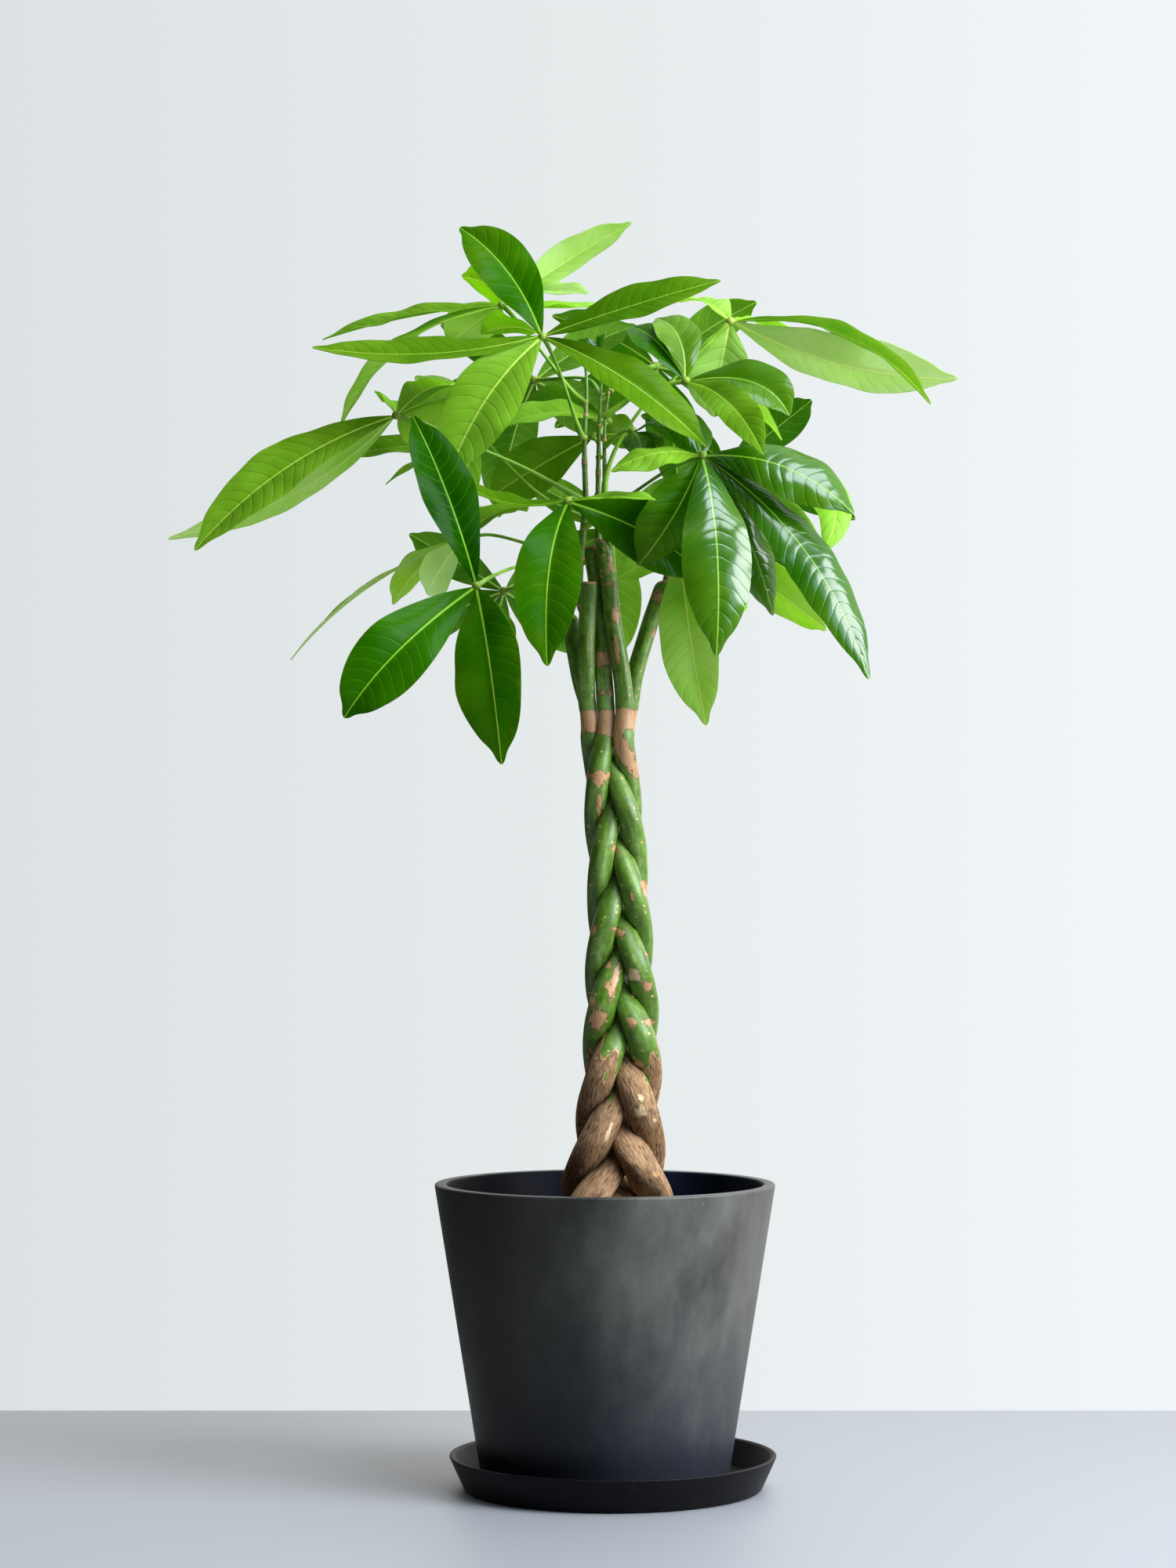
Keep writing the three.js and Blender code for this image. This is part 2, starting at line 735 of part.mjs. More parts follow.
// Puts the petioles and hubs in place first, then the blades, each bent clear of the rest.
function frondBodies(stemSolids, grownStems) {
  const plans = [...FRONDS, ...FAR_FRONDS].map((frond) => {
    const hub = vec(frond.petiole[frond.petiole.length - 1]);
    const facing = vec(frond.facing ?? FRONT).normalize();
    const stalk = solidOf(tube(frond.petiole, PETIOLE_RADII, PETIOLE_SIDES, PETIOLE_STEP));
    const ball = new THREE.SphereGeometry(HUB_RADIUS, 6, 4);
    ball.translate(hub.x, hub.y, hub.z);
    const own = largest(stalk.subtract(grownStems[frond.stem]));
    return {
      hub,
      facing,
      fold: frond.fold ?? BLADE_FOLD,
      blades: frond.blades ?? fanBlades(hub, facing, frond.reach),
      body: own.add(solidOf(ball)),
    };
  });
  for (const plan of plans) {
    const ownOuter = [];
    const strangers = plans.filter((other) => other !== plan).map((other) => other.body);
    strangers.push(...Object.values(stemSolids));
    for (const blade of plan.blades) {
      const phases = [random() * 2 * Math.PI, random() * 2 * Math.PI];
      const layoutOf = (bend) => bladeLayout(plan.hub, blade, plan.facing, bend);
      const bodyOf = (bend, from, thick) => bladeBody(layoutOf(bend), plan.fold, phases, from, thick);
      const free = (bend) => {
        const whole = bodyOf(bend, 0, BLADE_THICK + 2 * CLEARANCE);
        const outer = bodyOf(bend, ROOT_SHARE, BLADE_THICK);
        return !crosses(whole, strangers) && !crosses(outer, ownOuter);
      };
      const bend = BENDS.find(free);
      if (bend === undefined) throw new Error(`no room for the blade at ${blade}`);
      plan.body = plan.body.add(bodyOf(bend, 0, BLADE_THICK));
      ownOuter.push(bodyOf(bend, ROOT_SHARE, BLADE_THICK));
    }
  }
  return plans.map((plan) => plan.body);
}

// The assembly

const materials = {
  pot: new THREE.MeshStandardMaterial({ color: 0x55555a, roughness: 0.75, metalness: 0 }),
  saucer: new THREE.MeshStandardMaterial({ color: 0x2a2a2e, roughness: 0.6, metalness: 0 }),
  soil: new THREE.MeshStandardMaterial({ color: 0x3b2c20, roughness: 1, metalness: 0 }),
  bark: new THREE.MeshStandardMaterial({ color: 0x7c7440, roughness: 0.8, metalness: 0 }),
  leaf: new THREE.MeshStandardMaterial({ color: 0x4f8f1e, roughness: 0.45, metalness: 0 }),
};

const moneyTree = new THREE.Group();
moneyTree.name = 'money_tree';

function place(name, geometry, material) {
  const mesh = new THREE.Mesh(geometry, material);
  mesh.name = name;
  moneyTree.add(mesh);
}

place('saucer', saucer(), materials.saucer);
place('pot', pot(), materials.pot);

const stemSolids = {};
const grownStems = {};
for (const stem of STEMS) {
  stemSolids[stem.name] = stemBody(stem, 0);
  grownStems[stem.name] = stemBody(stem, SEAT_GAP);
  place(stem.name, geometryOf(stemSolids[stem.name]), materials.bark);
}
place('soil', geometryOf(soil(Object.values(grownStems))), materials.soil);

frondBodies(stemSolids, grownStems).forEach((body, i) => {
  const name = `frond_${String(i + 1).padStart(2, '0')}`;
  place(name, geometryOf(body), materials.leaf);
});

export default moneyTree;
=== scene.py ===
"""A potted money tree: plaited canes, palmate fronds, a tapered pot with soil, and a saucer."""

import math

import bpy
import numpy as np
from bpy.props import FloatProperty, FloatVectorProperty, IntProperty, PointerProperty
from bpy.types import Operator, Panel, PropertyGroup
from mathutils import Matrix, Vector, noise


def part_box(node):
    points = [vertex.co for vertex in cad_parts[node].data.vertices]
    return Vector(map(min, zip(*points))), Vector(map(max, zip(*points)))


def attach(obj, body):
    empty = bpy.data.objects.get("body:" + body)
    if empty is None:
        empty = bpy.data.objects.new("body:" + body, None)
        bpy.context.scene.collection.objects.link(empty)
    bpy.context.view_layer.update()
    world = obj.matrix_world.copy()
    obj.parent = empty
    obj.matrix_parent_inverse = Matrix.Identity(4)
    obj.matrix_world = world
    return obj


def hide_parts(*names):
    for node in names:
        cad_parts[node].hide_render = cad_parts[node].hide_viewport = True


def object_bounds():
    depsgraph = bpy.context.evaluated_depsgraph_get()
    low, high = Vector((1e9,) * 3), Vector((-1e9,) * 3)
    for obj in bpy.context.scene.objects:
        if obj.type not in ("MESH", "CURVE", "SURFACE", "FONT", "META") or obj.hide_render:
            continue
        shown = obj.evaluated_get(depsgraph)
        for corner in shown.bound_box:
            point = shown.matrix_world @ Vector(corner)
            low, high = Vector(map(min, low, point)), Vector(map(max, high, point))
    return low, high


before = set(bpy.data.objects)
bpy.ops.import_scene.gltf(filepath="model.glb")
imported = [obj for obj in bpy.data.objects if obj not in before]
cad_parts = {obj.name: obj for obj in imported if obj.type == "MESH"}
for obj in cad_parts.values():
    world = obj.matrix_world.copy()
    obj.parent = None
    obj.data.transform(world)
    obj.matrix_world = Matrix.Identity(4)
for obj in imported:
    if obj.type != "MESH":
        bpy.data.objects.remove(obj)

bl_info = {
    "name": "Potted money tree",
    "version": (1, 0, 0),
    "blender": (4, 5, 0),
    "location": "View3D > Sidebar > Money tree",
    "description": "Models a money tree with plaited canes in a tapered pot on a saucer",
    "category": "Add Mesh",
}

MM = 0.001
CAD_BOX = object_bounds()


def linear(code):
    """The linear colour of an sRGB hex code."""
    parts = [int(code[i : i + 2], 16) / 255 for i in (1, 3, 5)]
    return tuple(c / 12.92 if c <= 0.04045 else ((c + 0.055) / 1.055) ** 2.4 for c in parts)


def rgba(code):
    return (*linear(code), 1.0)


# The saucer, pot and soil, in millimetres, measured on the frame

saucer_low, saucer_high = (np.array(corner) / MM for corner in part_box("saucer"))
pot_low, pot_high = (np.array(corner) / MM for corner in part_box("pot"))
soil_low, soil_high = (np.array(corner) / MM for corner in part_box("soil"))
POT_X = (pot_low[0] + pot_high[0]) / 2
POT_FOOT = pot_low[2]
POT_RIM = pot_high[2]
RIM_RADIUS = (pot_high[0] - pot_low[0]) / 2

# What is given: radii, walls, roundings, and the heights of the soil's mound, clods and crumbs
SAUCER_BASE_RADIUS = 130
SAUCER_WALL = 5
SAUCER_SLACK = 0.8  # how far the lip stays inside the frame's
LIP_ROUNDING = 2.2
FLOOR_ROUNDING = 5
SAUCER_FOOT_ROUNDING = 3
POT_FOOT_ROUNDING = 4
SOIL_FOOT_RADIUS = 97.9
SOIL_RINGS = 46
SOIL_SLACK = 0.3  # how far the highest crumb stays under the frame's soil
MOUND = 4.2
CLOD = 1.6
CRUMB = 1.3

# The trunk: height, middle in x, reach to the side, strand radius
TRUNK = [
    (165, 3, 33, 15.5), (226, 3, 33, 16.5), (259, 3, 32, 16.5), (290, 4.2, 27, 15.2), (324, 5.4, 23, 14),
    (379, 7.8, 21.3, 12.5), (445, 6.8, 19.7, 11), (514, 5, 16.9, 10), (582, 1.9, 16.4, 9.4), (631, -2.2, 14.5, 8.8),
    (665, -4.3, 15, 8.5), (700, -5, 15, 8.1), (760, -8, 15, 7.6), (840, -8, 15, 7.2),
]
DEPTH_REACH = 1.7  # how far the plait reaches in depth, of the strand radius
STEM_FOOT = 165
PLAIT_TOP = 636
PLAIT_FREEZE = 248  # below this height the canes change places no more
STEPS_PER_MM = 0.01411  # places in the plait that a cane passes on its way down
STEPS_GROWTH = 5.16e-6  # how their number grows towards the soil
LOOSE_FROM = 636  # from here to LOOSE_BY the canes leave the plait
LOOSE_BY = 690
PRESS = 22.0  # how sharply canes press flat against each other
FULLER = 0.1  # how much fuller a cane is where nothing presses on it
CANE_GAP = 0.2

# Each stem: its strand in the plait, the route of its free cane, the slant of its cut top,
# and the route and end radii of its green shoot.
STEMS = [
    dict(strand=1, slant=0, radii=(4, 2.6),
         cane=[(-20, -2, 665), (-23, -7, 700), (-23, -10, 750), (-21, -10, 793)],
         shoot=[(-22, -10, 752), (-29, -11, 780), (-29, -12, 806), (-27, -12, 830), (-24, -12, 865),
                (-25, -12, 910), (-23, -11, 962), (-25, -10, 1002)]),
    dict(strand=2, slant=0.2, radii=(3.4, 2.2),
         cane=[(-6, -10, 665), (-8, -5, 710), (-11, 1, 750), (-15, 6, 797), (-20, 8, 826)],
         shoot=[(-17, 7, 800), (-13, 12, 828), (-13, 12, 860), (-12, 10, 930), (-9, 12, 988)]),
    dict(strand=4, slant=-0.6, radii=(3.4, 2.2),
         cane=[(12, -12, 665), (8, -11, 710), (0, -10, 760), (-4, -6, 797), (-8, -4, 829)],
         shoot=[(-7, -5, 798), (-4, -8, 824), (-6, -7, 850), (-7, -4, 880), (-7, 1, 930), (-3, 4, 966)]),
    dict(strand=3, slant=0.3, radii=(3.6, 2.6),
         cane=[(12, 8, 665), (19.5, 9, 712), (31, 8, 752), (41, 7, 782), (46, 6, 796)],
         shoot=[(40, 8, 776), (49, 9, 802), (54, 11, 830), (58, 14, 856)]),
    dict(strand=0, slant=-0.2, radii=(3.6, 2.4),
         cane=[(-14, 8, 665), (-26, 12, 700), (-31, 15, 722), (-38, 20, 764)],
         shoot=[(-36, 19, 748), (-41, 26, 774), (-46, 34, 810), (-49, 39, 836)]),
]
SHOOT_SIDES = 14
SHOOT_STEP = 2.5
JOINT_SPACING = 42
JOINT_LENGTH = 3.2
JOINT_SWELL = 0.22

# Marks on the front of the trunk: place in x and height, width, height, lean in degrees, by kind
MARKS = {
    "tan": [
        (11, 642, 13, 44, 28), (-12, 620, 12, 12, 0), (-12, 597, 4, 27, 0), (-8, 723, 15, 8, 0), (2, 764, 9, 14, 5),
        (3, 733, 5, 26, 8), (40, 781, 15, 8, -25), (36, 750, 4, 9, -20), (-22, 736, 1.6, 30, 0), (28, 524, 7, 16, 10),
        (5, 560, 14, 6, 0), (7, 485, 20, 7, -15), (17, 516, 3, 12, 12), (-17, 488, 8, 4, 0), (1, 443, 6, 38, -14),
        (-13, 411, 15, 18, -30), (30, 438, 12, 9, 0), (31, 407, 9, 7, 0), (16, 408, 8, 10, 20), (-4, 457, 5, 3, 0),
        (-5, 441, 6, 6, 0), (-18, 425, 7, 8, 0), (29, 465, 5, 6, 0), (15, 288, 7, 7, 0), (37, 275, 8, 6, 0),
        (22, 372, 10, 6, 0),
    ],
    "pale": [
        (18, 449, 13, 10, 0), (24, 549, 6, 4, 0), (24, 328, 12, 7, 0), (36, 323, 4, 9, 0), (24, 341, 7, 9, 10),
        (-4, 313, 4, 22, -20),
    ],
    "green": [
        (1, 348, 5, 7, 0), (-3, 341, 5, 5, 0), (30, 358, 6, 7, 0), (-6, 362, 4, 16, -20),
    ],
}
BIND_LOW = 662  # from here to BIND_HIGH the canes are rubbed tan
BIND_HIGH = 680
BARK_TOP = 380
BARK_FADE = (14, 12)  # how far below and above its top the bark runs out
WANDER = 14  # how far the bark's top strays as a whole; TONGUES and SLANT are its straying round a cane
TONGUES = 34
SLANT = 9

# Two canes turn woody again between these heights
AGED_STEMS = (1, 2)
AGED_BETWEEN = (690, 790)
AGE = 0.36

# Scars: their sizes, the gaps between them, the share that ring the cane, and how far they reach
SCAR_SIZES = (1.8, 4.2)
SCAR_GAPS = (24, 58)
RINGING_SCARS = 0.25
SCAR_REACH = 14

# How far scars, marks and lumps stand out, and how deep the bark's fissures go
SCAR_LIFT = 0.5
MARK_LIFT = 0.25
LUMP = 0.45
FISSURE = 1.1
GIRTH = 9  # the radius that every cane has for its grain

# Fronds: the tone from deep (0) by bright (1) to pale (TONE_FULL), the gloss, for all or each, how far the flesh swells
# between the veins in millimetres, the fold, the petiole's route to the hub, and for each blade its tip, width, turn of
# its upper face, arch, sway and lead. A blade's tone is partly its own colour and partly painted light and shade:
# blades in shade get brighter tones, and blades lit from behind paler ones.
FRONT = (0, -1, 0)
FRONDS = [
    # front of the crown's top
    dict(tone=(0.38, 0.5, 0.66, 0.74, 0.58, 0.9), quilt=0.4,
         petiole=[(-24, -12, 919), (-29, -16, 925), (-45, -36, 970), (-55, -52, 992), (-61, -60, 1002)],
         blades=[(-133, -50, 1098, 50, 15, 12, 6), (92, -80, 1047, 42, 42, 10, -9),
                 (-258, -90, 988, 42, 52, -4, -14), (-141, -100, 879, 60, 8, 16, 6), (79, -105, 901, 46, 36, 10, 3),
                 (-117, 45, 1018, 40, 100, 8, 0)]),
    # top left, behind the first
    dict(tone=(1.12, 0.74, 1.1, 1.12, 1.0, 1.2, 0.95), quilt=0.45,
         petiole=[(-23, -11, 950), (-36, -4, 962), (-58, 6, 992), (-82, 15, 1024), (-98, 20, 1042)],
         blades=[(17, 30, 1117, 38, 130, 12, 8), (-258, 30, 1012, 46, 70, 5, 0), (-237, -30, 929, 36, 65, 20, 16),
                 (-151, 120, 1020, 46, 140, 3, 0), (-137, 110, 1082, 44, 120, 10, 0),
                 (-21, -40, 1042, 36, 65, 6, 0), (-4, 40, 1045, 36, 75, -3, 0)]),
    # right
    dict(tone=(0.5, 1.4, 1.15, 1.1, 1.1), quilt=0.45,
         petiole=[(-7, -5, 865), (-6, -4, 886), (5, -2, 916), (30, 1, 953), (56, 3, 976), (104, 5, 1025)],
         blades=[(277, -30, 947, 40, 65, 25, 10), (306, 20, 976, 62, 130, -6, 12), (90, 25, 943, 60, 10, 6, 0),
                 (62, 90, 1055, 40, 60, 8, 0), (170, 110, 1008, 40, 90, 12, 0)]),
    # glossy front right
    dict(tone=(0.4, 0.42, 0.38, 0.5, 0.76, 0.8, 0.55, 0.9), gloss=(1, 1, 1, 0.1, 0.1, 0.1, 0.9, 0.1),
         quilt=0.75, fold=-0.2,
         petiole=[(-26, -12, 840), (-7, -30, 851), (15, -55, 865), (49, -82, 885), (76, -95, 895)],
         blades=[(203, -125, 842, 52, 30, 14, 9), (216, -120, 702, 46, 25, 20, 13), (86, -150, 720, 60, 8, 22, 3),
                 (21, -88, 801, 54, -30, 10, 0), (-2, -130, 877, 34, 50, 10, 0), (180, -60, 825, 40, 40, 6, 0),
                 (137, -80, 759, 44, 30, 12, 0), (177, -95, 808, 36, 20, 5, 50, 25)]),
    # low front left
    dict(tone=(0.14, 0.3, 0.36, 0.6), quilt=0.25,
         petiole=[(-29, -12, 806), (-56, -30, 808), (-84, -60, 802), (-104, -84, 792), (-117, -95, 783)],
         blades=[(-172, -80, 929, 50, 25, 14, -2), (-226, -150, 668, 60, 5, 22, 4, 14),
                 (-94, -150, 629, 64, -25, 22, 13), (-102, -10, 722, 40, 20, 10, 0)]),
    # front middle
    dict(tone=(0.42, 0.5, 0.95, 0.42), quilt=0.2,
         petiole=[(-25, -12, 854), (-30, -36, 862), (-36, -62, 862), (-39, -80, 857)],
         blades=[(-56, -140, 712, 57, 5, 24, 6), (-136, -90, 878, 30, 65, -10, -9), (34, -150, 851, 30, 72, 2, 0),
                 (80, -62, 796, 58, 10, 10, 5)]),
    # left
    dict(tone=(0.72, 1.12, 0.95, 0.9, 0.8, 1.1), quilt=0.5,
         petiole=[(-25, -12, 864), (-71, -22, 889), (-114, -34, 907), (-188, -50, 935)],
         blades=[(-356, -110, 812, 50, 30, 10, 11), (-389, -20, 830, 28, 140, 12, 28),
                 (-134, -8, 918, 56, 150, 8, 0), (-108, -10, 955, 40, 60, 6, 0), (-137, -120, 952, 36, 110, 8, 0),
                 (-205, 40, 958, 32, 20, 6, 0)]),
    # left, behind
    dict(tone=(0.75, 0.95, 1.2, 1.0), quilt=0.5,
         petiole=[(-13, 12, 846), (-62, 16, 871), (-99, 23, 906), (-112, 26, 920), (-118, 30, 919)],
         blades=[(-246, 0, 904, 36, 55, 4, 0), (-152, 10, 845, 36, 5, 8, 0), (-175, 20, 978, 38, 20, 8, 0),
                 (-201, 20, 882, 20, 70, 6, 0)]),
    # low left, behind
    dict(tone=(1.25, 1.1, 1.2, 0.8), quilt=0.2,
         petiole=[(-46, 35, 815), (-60, 38, 824), (-78, 42, 832), (-110, 48, 840), (-134, 50, 836)],
         blades=[(-285, 20, 726, 30, 85, 13, 0), (-199, 110, 782, 40, 120, 10, 0), (-163, 0, 783, 36, 150, 6, 0),
                 (-78, 120, 868, 44, 60, 10, 0)]),
    # low right, under the crown
    dict(tone=(1.12, 1.1, 1.05), quilt=0.35,
         petiole=[(51, 10, 812), (55, -4, 822), (59, -20, 822)],
         blades=[(80, -70, 665, 54, -22, 18, 4), (69, 50, 737, 44, 20, 10, 0), (118, 10, 770, 40, 30, 10, 0)]),
    # right, behind
    dict(tone=(1.1, 1.0, 0.9), quilt=0.3,
         petiole=[(54, 12, 834), (66, 28, 842), (79, 50, 832)],
         blades=[(189, 20, 753, 46, 140, 14, 6), (5, 60, 802, 40, 40, 5, 0), (150, 96, 790, 44, 60, 10, 0)]),
    # right of the middle
    dict(tone=(0.56, 0.6, 0.75, 0.4, 0.6), gloss=(0.4, 0.1, 0.1, 0.3, 0.5), quilt=0.4,
         petiole=[(-6, 2, 941), (14, -8, 954), (40, -18, 964), (64, -25, 968)],
         blades=[(152, -70, 932, 46, 35, 14, 10, 8), (126, -140, 890, 36, 20, 12, 6),
                 (148, -15, 917, 30, 60, 12, 0), (17, 40, 1025, 44, 30, 10, 0), (39, 30, 1031, 40, 20, 12, 6)]),
    # young frond at the top of a shoot
    dict(tone=0.25, gloss=0.8,
         petiole=[(-9, 12, 976), (-12, 4, 984), (-10, -2, 994)],
         blades=[(-31, -10, 1007, 12, 30, 3, 0), (-6, -4, 1012, 16, 60, 3, 0)]),
    # bright leaf behind the shoots
    dict(tone=(0.7, 0.6), quilt=0.3,
         petiole=[(-12, 10, 905), (-12, 20, 916), (-17, 28, 926)],
         blades=[(-111, 60, 874, 50, 10, 6, 0), (24, 50, 926, 40, 30, 5, 0)]),
    # middle, behind the shoots
    dict(tone=(0.9, 0.6), quilt=0.4,
         petiole=[(-12, 10, 924), (-9, 18, 932), (-4, 26, 939)],
         blades=[(-101, 8, 929, 44, 60, 12, 0), (-79, 70, 960, 40, 110, 10, 0)]),
    # small, right of the shoots
    dict(tone=(0.3, 0.5, 0.5), gloss=(0.8, 0.2, 0.2), quilt=0.6, fold=-0.2,
         petiole=[(-7, -2, 914), (8, -16, 924), (17, -35, 923)],
         blades=[(75, -90, 891, 46, 55, 24, 12), (26, -86, 890, 28, 20, 6, 0), (45, -74, 898, 28, 30, 6, 0)]),
    # far side, whose blades spread by a rule
    dict(tone=0.5, petiole=[(-9, 12, 958), (-24, 48, 980), (-70, 95, 985)], facing=(-0.3, 0.8, 0.5), reach=150),
    dict(tone=0.55, petiole=[(-3, 4, 962), (12, 48, 985), (40, 110, 1000)], facing=(0.2, 0.8, 0.5), reach=150),
    dict(tone=0.4, petiole=[(57, 13, 850), (76, 48, 880), (104, 88, 906)], facing=(0.5, 0.7, 0.4), reach=145),
    dict(tone=0.45, petiole=[(-43, 29, 790), (-62, 66, 800), (-98, 104, 794)], facing=(-0.3, 0.9, 0.3), reach=140),
    dict(tone=0.6, petiole=[(-13, 12, 872), (-4, 60, 878), (0, 120, 852)], facing=(0.1, 0.9, 0.3), reach=130),
]
QUILT = 0.35  # unless the frond says so, as with the gloss
GLOSS = 0.06
TONE_FULL = 1.5
TONE_SPREAD = 0.06
LENGTH_FULL = 250
PETIOLE_SIDES = 12
PETIOLE_STEP = 3
PETIOLE_RADII = (3.3, 1.9, 1.5, 1.4, 1.5, 2.5)
HUB_RADIUS = 4
FAR_SPREAD = (0, 58, -58, 118, -118)
FAR_SHORTER = 0.14
FAR_WIDTH = 0.34
FAR_ARCH = 0.1
FAR_LIFT = 0.18

# A blade's build, in millimetres
BLADE_FULLEST = 1.2
BLADE_FULL = 0.8
ROOT_HALF = 1.2
TIP_HALF = 0.8
ROOT_OFFSET = 2.6
FOLD = 0.22  # how far the edges rise, of the half width, unless the frond says so
WAVE = 2.2
WAVES = 2.4
PLEAT = 0.6  # the pleats, the slower swing and the dome of the halves, beside the fold and the waves
SWING = 1.2
SWING_LENGTH = 34
DOME = 0.07
BENDS = (0, 12, -12, 24, -24, 36, -36, 48, -48, 60, -60, 72, -72, 84, -84)
SEED = 20250
SEED_FACTOR = 48271
SEED_RANGE = 2147483647

# The stage, in metres and degrees. Windows: name, place, aim, size, share of the key power, colour.
TABLE_WIDE = 3.2
TABLE_BACK = 0.462
TABLE_FRONT = -2.6
TABLE_THICK = 0.03
TABLE_ROUNDING = 0.004
CAMERA_LENS = 83.6
CAMERA_X = -0.0218
CAMERA_RISE = 1.39
CAMERA_SIGHT = 50
SENSOR_WIDTH = 36  # millimetres, as the lens
WINDOWS = [
    ("window_right", (2.4, -1.25, 1.7), (0, 0, 0.55), 1.8, 1.0, "#F3F7FF"),
    ("window_front", (2.1, -2.8, 1.5), (0, 0, 0.7), 1.6, 0.2, "#BEDAFF"),
    ("window_above", (0.8, -1.0, 2.7), (0, 0, 0.8), 1.2, 0.35, "#E6F0FF"),
]


class MoneyTreePot(PropertyGroup):
    wall: FloatProperty(name="Wall", description="Thickness of the pot's wall", default=11 * MM, unit="LENGTH")
    floor: FloatProperty(name="Floor", description="Thickness of the pot's floor", default=12 * MM, unit="LENGTH")
    base_radius: FloatProperty(
        name="Base radius", description="Radius of the pot at its foot", default=107.5 * MM, unit="LENGTH"
    )
    drain_radius: FloatProperty(
        name="Drain radius", description="Radius of the drain hole", default=9 * MM, unit="LENGTH"
    )
    rim_rounding: FloatProperty(
        name="Rim rounding", description="Radius of the rim's edges", default=2.6 * MM, unit="LENGTH"
    )
    colour: FloatVectorProperty(
        name="Pot colour", description="Base colour of the pot", subtype="COLOR", default=linear("#343430")
    )
    # The inside's colour is near black and bluish: painted shade in the pot's hollow
    shaded_inside_colour: FloatVectorProperty(
        name="Inside colour", description="Colour of the pot's inside, near black as painted shade", subtype="COLOR", default=linear("#0A0E18")
    )
    saucer_colour: FloatVectorProperty(
        name="Saucer colour", description="Base colour of the saucer", subtype="COLOR", default=linear("#07070B")
    )


class MoneyTreePlant(PropertyGroup):
    vein_spacing: FloatProperty(
        name="Vein spacing", description="Distance between a leaflet's side veins", default=11.5 * MM, unit="LENGTH"
    )
    blade_thickness: FloatProperty(
        name="Blade thickness", description="Thickness of a leaflet", default=0.5 * MM, unit="LENGTH"
    )
    blade_rows: IntProperty(name="Blade rows", description="Steps along a leaflet", default=72, min=8)
    blade_columns: IntProperty(name="Blade columns", description="Steps across a leaflet", default=14, min=4)
    cane_sides: IntProperty(name="Cane sides", description="Steps round a cane", default=40, min=8)
    cane_step: FloatProperty(
        name="Cane step", description="Height between a cane's rings", default=2 * MM, unit="LENGTH"
    )


class MoneyTreeStage(PropertyGroup):
    table_colour: FloatVectorProperty(
        name="Table colour", description="Colour of the table top", subtype="COLOR", default=linear("#8C8F92")
    )
    key_power: FloatProperty(name="Key power", description="Power of the key light in watts", default=150)
    camera_distance: FloatProperty(
        name="Camera distance", description="From the trunk's axis", default=3.2, unit="LENGTH"
    )
    camera_height: FloatProperty(name="Camera height", description="Above the table", default=0.5384, unit="LENGTH")


# Helpers for meshes


def clear_selection():
    bpy.ops.object.select_all(action="DESELECT")


def only(obj):
    """Makes obj the only selected object, and the active one."""
    clear_selection()
    obj.select_set(True)
    bpy.context.view_layer.objects.active = obj


def select_faces(obj, test):
    """In edit mode, selects the faces whose centre and normal pass the test, and nothing else."""
    bpy.ops.mesh.select_all(action="DESELECT")
    bpy.ops.object.mode_set(mode="OBJECT")
    for face in obj.data.polygons:
        face.select = bool(test(face.center, face.normal))
    bpy.ops.object.mode_set(mode="EDIT")


def select_edges(obj, test):
    """In edit mode, selects the edges whose two ends pass the test, and nothing else."""
    bpy.ops.mesh.select_all(action="DESELECT")
    bpy.ops.mesh.select_mode(type="EDGE")
    bpy.ops.object.mode_set(mode="OBJECT")
    points = obj.data.vertices
    for edge in obj.data.edges:
        edge.select = bool(test(*(points[end].co for end in edge.vertices)))
    bpy.ops.object.mode_set(mode="EDIT")


def round_edges(obj, test, offset, segments):
    select_edges(obj, test)
    bpy.ops.mesh.bevel(offset=offset, segments=segments)


def facing_up(centre, normal):
    return normal.z > 0.9


def tapered(sides, low_radius, high_radius, low, high, x=0):
    """A tapered round body between two heights, left in edit mode."""
    clear_selection()
    bpy.ops.mesh.primitive_cone_add(
        vertices=sides, radius1=low_radius, radius2=high_radius, depth=high - low, location=(x, 0, (low + high) / 2)
    )
    bpy.ops.object.transform_apply()
    bpy.ops.object.mode_set(mode="EDIT")
    return bpy.context.object


def hollow(obj, wall, depth, mouth, bottom, centre):
    """Sinks the top face inside a wall, and narrows it there from the mouth's to the bottom's radius."""
    select_faces(obj, facing_up)
    bpy.ops.mesh.inset(thickness=wall)
    bpy.ops.mesh.extrude_region_move(TRANSFORM_OT_translate={"value": (0, 0, -depth)})
    bpy.ops.transform.resize(value=(bottom / mouth, bottom / mouth, 1), center_override=centre)


def finish_piece(obj, nodes, angle=40):
    """Names the piece, smooths it, puts its place in its mesh and ties it to the frame."""
    only(obj)
    bpy.ops.object.transform_apply(location=True, rotation=True, scale=True)
    bpy.ops.object.shade_smooth_by_angle(angle=math.radians(angle))
    obj.name = obj.data.name = f"dressed_{nodes[0]}"
    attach(obj, "root")
    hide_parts(*nodes)


def apply_modifier(obj, kind, **settings):
    modifier = obj.modifiers.new(kind.lower(), kind)
    for key, value in settings.items():
        setattr(modifier, key, value)
    only(obj)
    bpy.ops.object.modifier_apply(modifier=modifier.name)


def join(objects):
    """Joins the objects into the first one."""
    only(objects[0])
    for obj in objects:
        obj.select_set(True)
    bpy.ops.object.join()
    return objects[0]


def coordinates(vertices):
    flat = np.empty(len(vertices) * 3)
    vertices.foreach_get("co", flat)
    return flat.reshape(-1, 3)


def place_vertices(obj, points):
    """Gives the mesh's vertices their places, in millimetres."""
    obj.data.vertices.foreach_set("co", (points * MM).ravel())
    obj.data.update()


def set_attribute(obj, name, values):
    layer = obj.data.attributes.new(name, "FLOAT", "POINT")
    layer.data.foreach_set("value", np.asarray(values, dtype=np.float32))


# Helpers for materials


